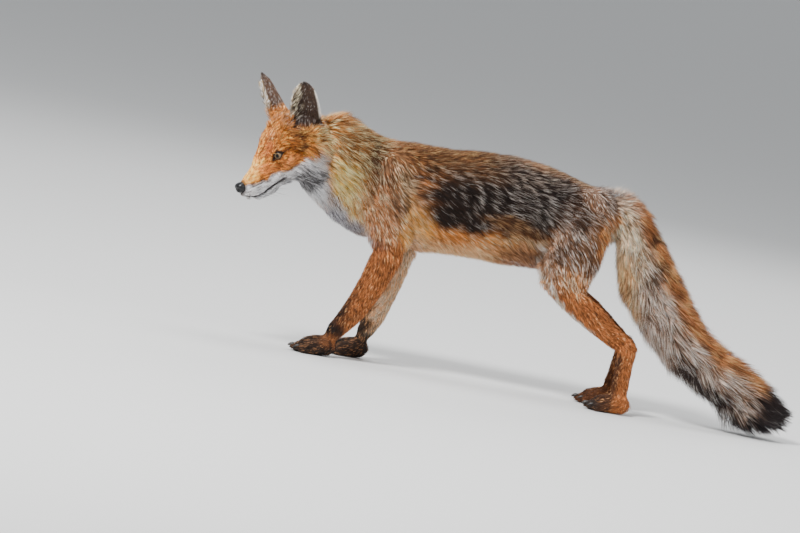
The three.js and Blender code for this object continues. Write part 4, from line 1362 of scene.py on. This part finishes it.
def make_nose(material):
    """A squarish pad, flat on top and drawn in underneath, with two nostrils, their slits and a cleft."""
    mesh = ball("nose_pad", 72, 56)
    d = spots(mesh)
    v = np.stack([-d[:, 2], d[:, 1], d[:, 0]], 1)  # the ball's pole turned to the front
    x, y, z = np.abs(v).T
    square = (x**2.4 + y**2.6 + z**2.6) ** (-1 / 2.5)
    co = v * square[:, None] * NOSE_HALF * np.array([1.02, 1.03, 1.0])
    front = step(-v[:, 0], -0.1, 0.5)
    co[:, 1] *= 1 - 0.28 * step(-v[:, 2], 0.1, 0.9)
    co[:, 0] += 1.6 * step(-v[:, 2], 0.2, 1.0) * front
    for s in SIDES:
        nostril = mound(v, unit((-0.80, 0.47 * s, -0.10)), (0.3, 0.22, 0.27))
        co += np.array([3.6, -1.2 * s, 0.2]) * nostril[:, None]
        slit = mound(v, unit((-0.45, 0.86 * s, -0.22)), (0.34, 0.3, 0.12))
        co += np.array([0.5, -1.6 * s, 0.0]) * slit[:, None]
    cleft = bell(v[:, 1], 0.07) * front * step(-v[:, 2], -0.5, 0.2)
    co += np.array([0.9, 0, 0]) * cleft[:, None]
    place(mesh, to_scene(from_head(NOSE_AT + co)))
    faced_outwards(mesh)
    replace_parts(new_piece("nose_pad", mesh, material), "nose")


def make_claws(material):
    for paw, names in CLAWS.items():
        bm = bmesh.new()
        for name in names:
            claw = bmesh.new()
            claw.from_mesh(nodes[name].data)
            bmesh.ops.remove_doubles(claw, verts=claw.verts, dist=WELD)
            point = min(claw.verts, key=lambda v: v.co.x).co.copy()
            bmesh.ops.scale(claw, vec=CLAW_GROWTH, verts=claw.verts, space=Matrix.Translation(-point))
            one = new_mesh(name, claw)
            bm.from_mesh(one)
            bpy.data.meshes.remove(one)
        piece = new_piece(f"{paw}_claws", new_mesh(f"{paw}_claws", bm), material)
        rounding = piece.modifiers.new("rounded", "SUBSURF")
        rounding.levels = rounding.render_levels = 1
        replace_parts(piece, *names)


def make_whiskers(material):
    rng = np.random.default_rng(77)
    roots, flows, normals, lengths = [], [], [], []
    for s in SIDES:
        for row in range(WHISKER_ROWS):
            for k in range(WHISKERS_A_ROW):
                x = -58 + 6.5 * k + rng.normal(0, 0.6)
                z = -33 - 3.6 * row + rng.normal(0, 0.4)
                roots.append((x, s * (10.5 + 0.28 * (x + 58)), z))
                flows.append((0.75, s * (0.42 + 0.1 * row), -0.12 - 0.12 * row))
                normals.append((0.2, s * 0.9, -0.1))
                lengths.append(30 + 6 * k + rng.uniform(-4, 4))
    count = len(roots)
    root, normal, flow = from_head(roots), unit(turned_from_head(normals)), unit(turned_from_head(flows))
    width, lift, sway = np.full(count, WHISKER_WIDTH), np.full(count, 0.25), np.zeros(count)
    hues = [np.tile(rgb(*WHISKER_COLOUR), (count, 1))] * 3
    patch = np.tile([0.5, 0.5], (count, 1))
    mesh = tuft_mesh(
        "whiskers", root, normal, flow, np.array(lengths), width, lift, sway, hues, patch, 0.0, 5, WHISKER_STOPS
    )
    new_piece("whiskers", mesh, material)


# ---------------------------------------------------------------- making it
COAT_LOOK = {
    slot: finish(name, "hair", rough, 0.3, 900.0, strength)
    for slot, name, rough, strength in (
        ("red_coat", "red_hair", 0.6, 0.35), ("grizzled_coat", "grizzled_hair", 0.6, 0.35),
        ("dark_coat", "dark_hair", 0.55, 0.3), ("white_coat", "white_hair", 0.6, 0.25),
    )
}
SKIN_LOOK = finish("skin_and_short_hair", "tint", 0.75, 0.25, 1400.0, 0.5, bump=(0.6, 0.0006))
NOSE_LOOK = finish("damp_nose", (12, 12, 14), 0.34, 0.35, 1500.0, 0.4, coat=0.15, bump=(0.5, 0.0003))
CLAW_LOOK = finish("horn", (42, 36, 32), 0.42, 0.5, 300.0, 0.3)
EYE_LOOK = eye_finish()


def make_skin():
    """The skin in the coat's own markings, darker than the hair so that gaps read as shade."""
    skin = new_piece("skin", skin_mesh(), SKIN_LOOK)
    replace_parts(skin, *FLESH)
    colour, dark, pale, light = markings(from_scene(spots(skin.data)), unit(facing(skin.data)))
    blend = colour * (1 - pale[:, None] * 0.6) + light * pale[:, None] * 0.6
    coloured(skin.data, "tint", blend * (0.7 - 0.35 * dark)[:, None])
    return skin


def make_coats(skin):
    ground = Ground(skin.data)
    for index, (name, groups, side, slot, triangles) in enumerate(COATS):
        mesh = grow_coat(ground, index, name, groups, side, slot, triangles)
        new_piece(name, mesh, COAT_LOOK[slot])


make_coats(make_skin())
for eye_side in SIDES:
    make_eye(eye_side, EYE_LOOK)
make_nose(NOSE_LOOK)
make_claws(CLAW_LOOK)
make_whiskers(COAT_LOOK["dark_coat"])

# ---------------------------------------------------------------- studio
LAMPS = [  # name, place, size, power
    ("key", (-1.5, -2.2, 3.2), 1.1, 270.0),
    ("fill", (2.6, -2.0, 1.8), 2.2, 30.0),
    ("top", (0.2, 0.6, 3.6), 2.0, 80.0),
    ("back", (0.6, 3.0, 2.2), 2.2, 45.0),
]
LAMP_AIM = (0, 0, 0.2)
CAMERA_RISE, CAMERA_LEAN = math.radians(5.0), math.radians(11.2)
CAMERA_DISTANCE = 9000.0
PICTURE_WIDTH = 1240.0  # millimetres across the picture at the animal
SENSOR_WIDTH = 36.0


def studio():
    bm = bmesh.new()
    bmesh.ops.create_circle(bm, cap_ends=True, segments=96, radius=70.0)
    floor = new_object("studio_floor", new_mesh("studio_floor", bm))
    floor.location.z = -0.0005
    pale, _, _ = new_material("pale_floor", {"Base Color": (0.62, 0.62, 0.61, 1), "Roughness": 0.9})
    floor.data.materials.append(pale)
    world = bpy.data.worlds.new("studio")
    bpy.context.scene.world = world
    world.use_nodes = True
    set_sockets(world.node_tree.nodes["Background"], {"Color": (0.93, 0.96, 1.0, 1), "Strength": 0.62})
    for name, spot, size, power in LAMPS:
        data = bpy.data.lights.new(name, "AREA")
        data.shape = "DISK"
        data.size = size
        data.energy = power
        lamp = new_object(name, data)
        lamp.location = spot
        lamp.rotation_euler = (Vector(LAMP_AIM) - Vector(spot)).to_track_quat("-Z", "Y").to_euler()


def camera():
    """The camera, a little above the animal and rolled by the slope of the ground it stood on."""
    ahead = Vector((0, math.cos(CAMERA_RISE), -math.sin(CAMERA_RISE)))
    right = Vector((1, 0, 0))
    up = Vector((0, math.sin(CAMERA_RISE), math.cos(CAMERA_RISE)))
    aim = Vector((0, -33, 0)) + right * 79.2 + up * 158.7
    data = bpy.data.cameras.new("camera")
    data.sensor_width = SENSOR_WIDTH
    data.lens = SENSOR_WIDTH * CAMERA_DISTANCE / PICTURE_WIDTH
    data.clip_end = 120.0
    eye = new_object("camera", data)
    turned_right = right * math.cos(CAMERA_LEAN) + up * math.sin(CAMERA_LEAN)
    turned_up = up * math.cos(CAMERA_LEAN) - right * math.sin(CAMERA_LEAN)
    view = Matrix((turned_right, turned_up, -ahead)).transposed().to_4x4()
    view.translation = Vector(to_scene(aim - ahead * CAMERA_DISTANCE))
    eye.matrix_world = view
    bpy.context.scene.camera = eye


studio()
camera()
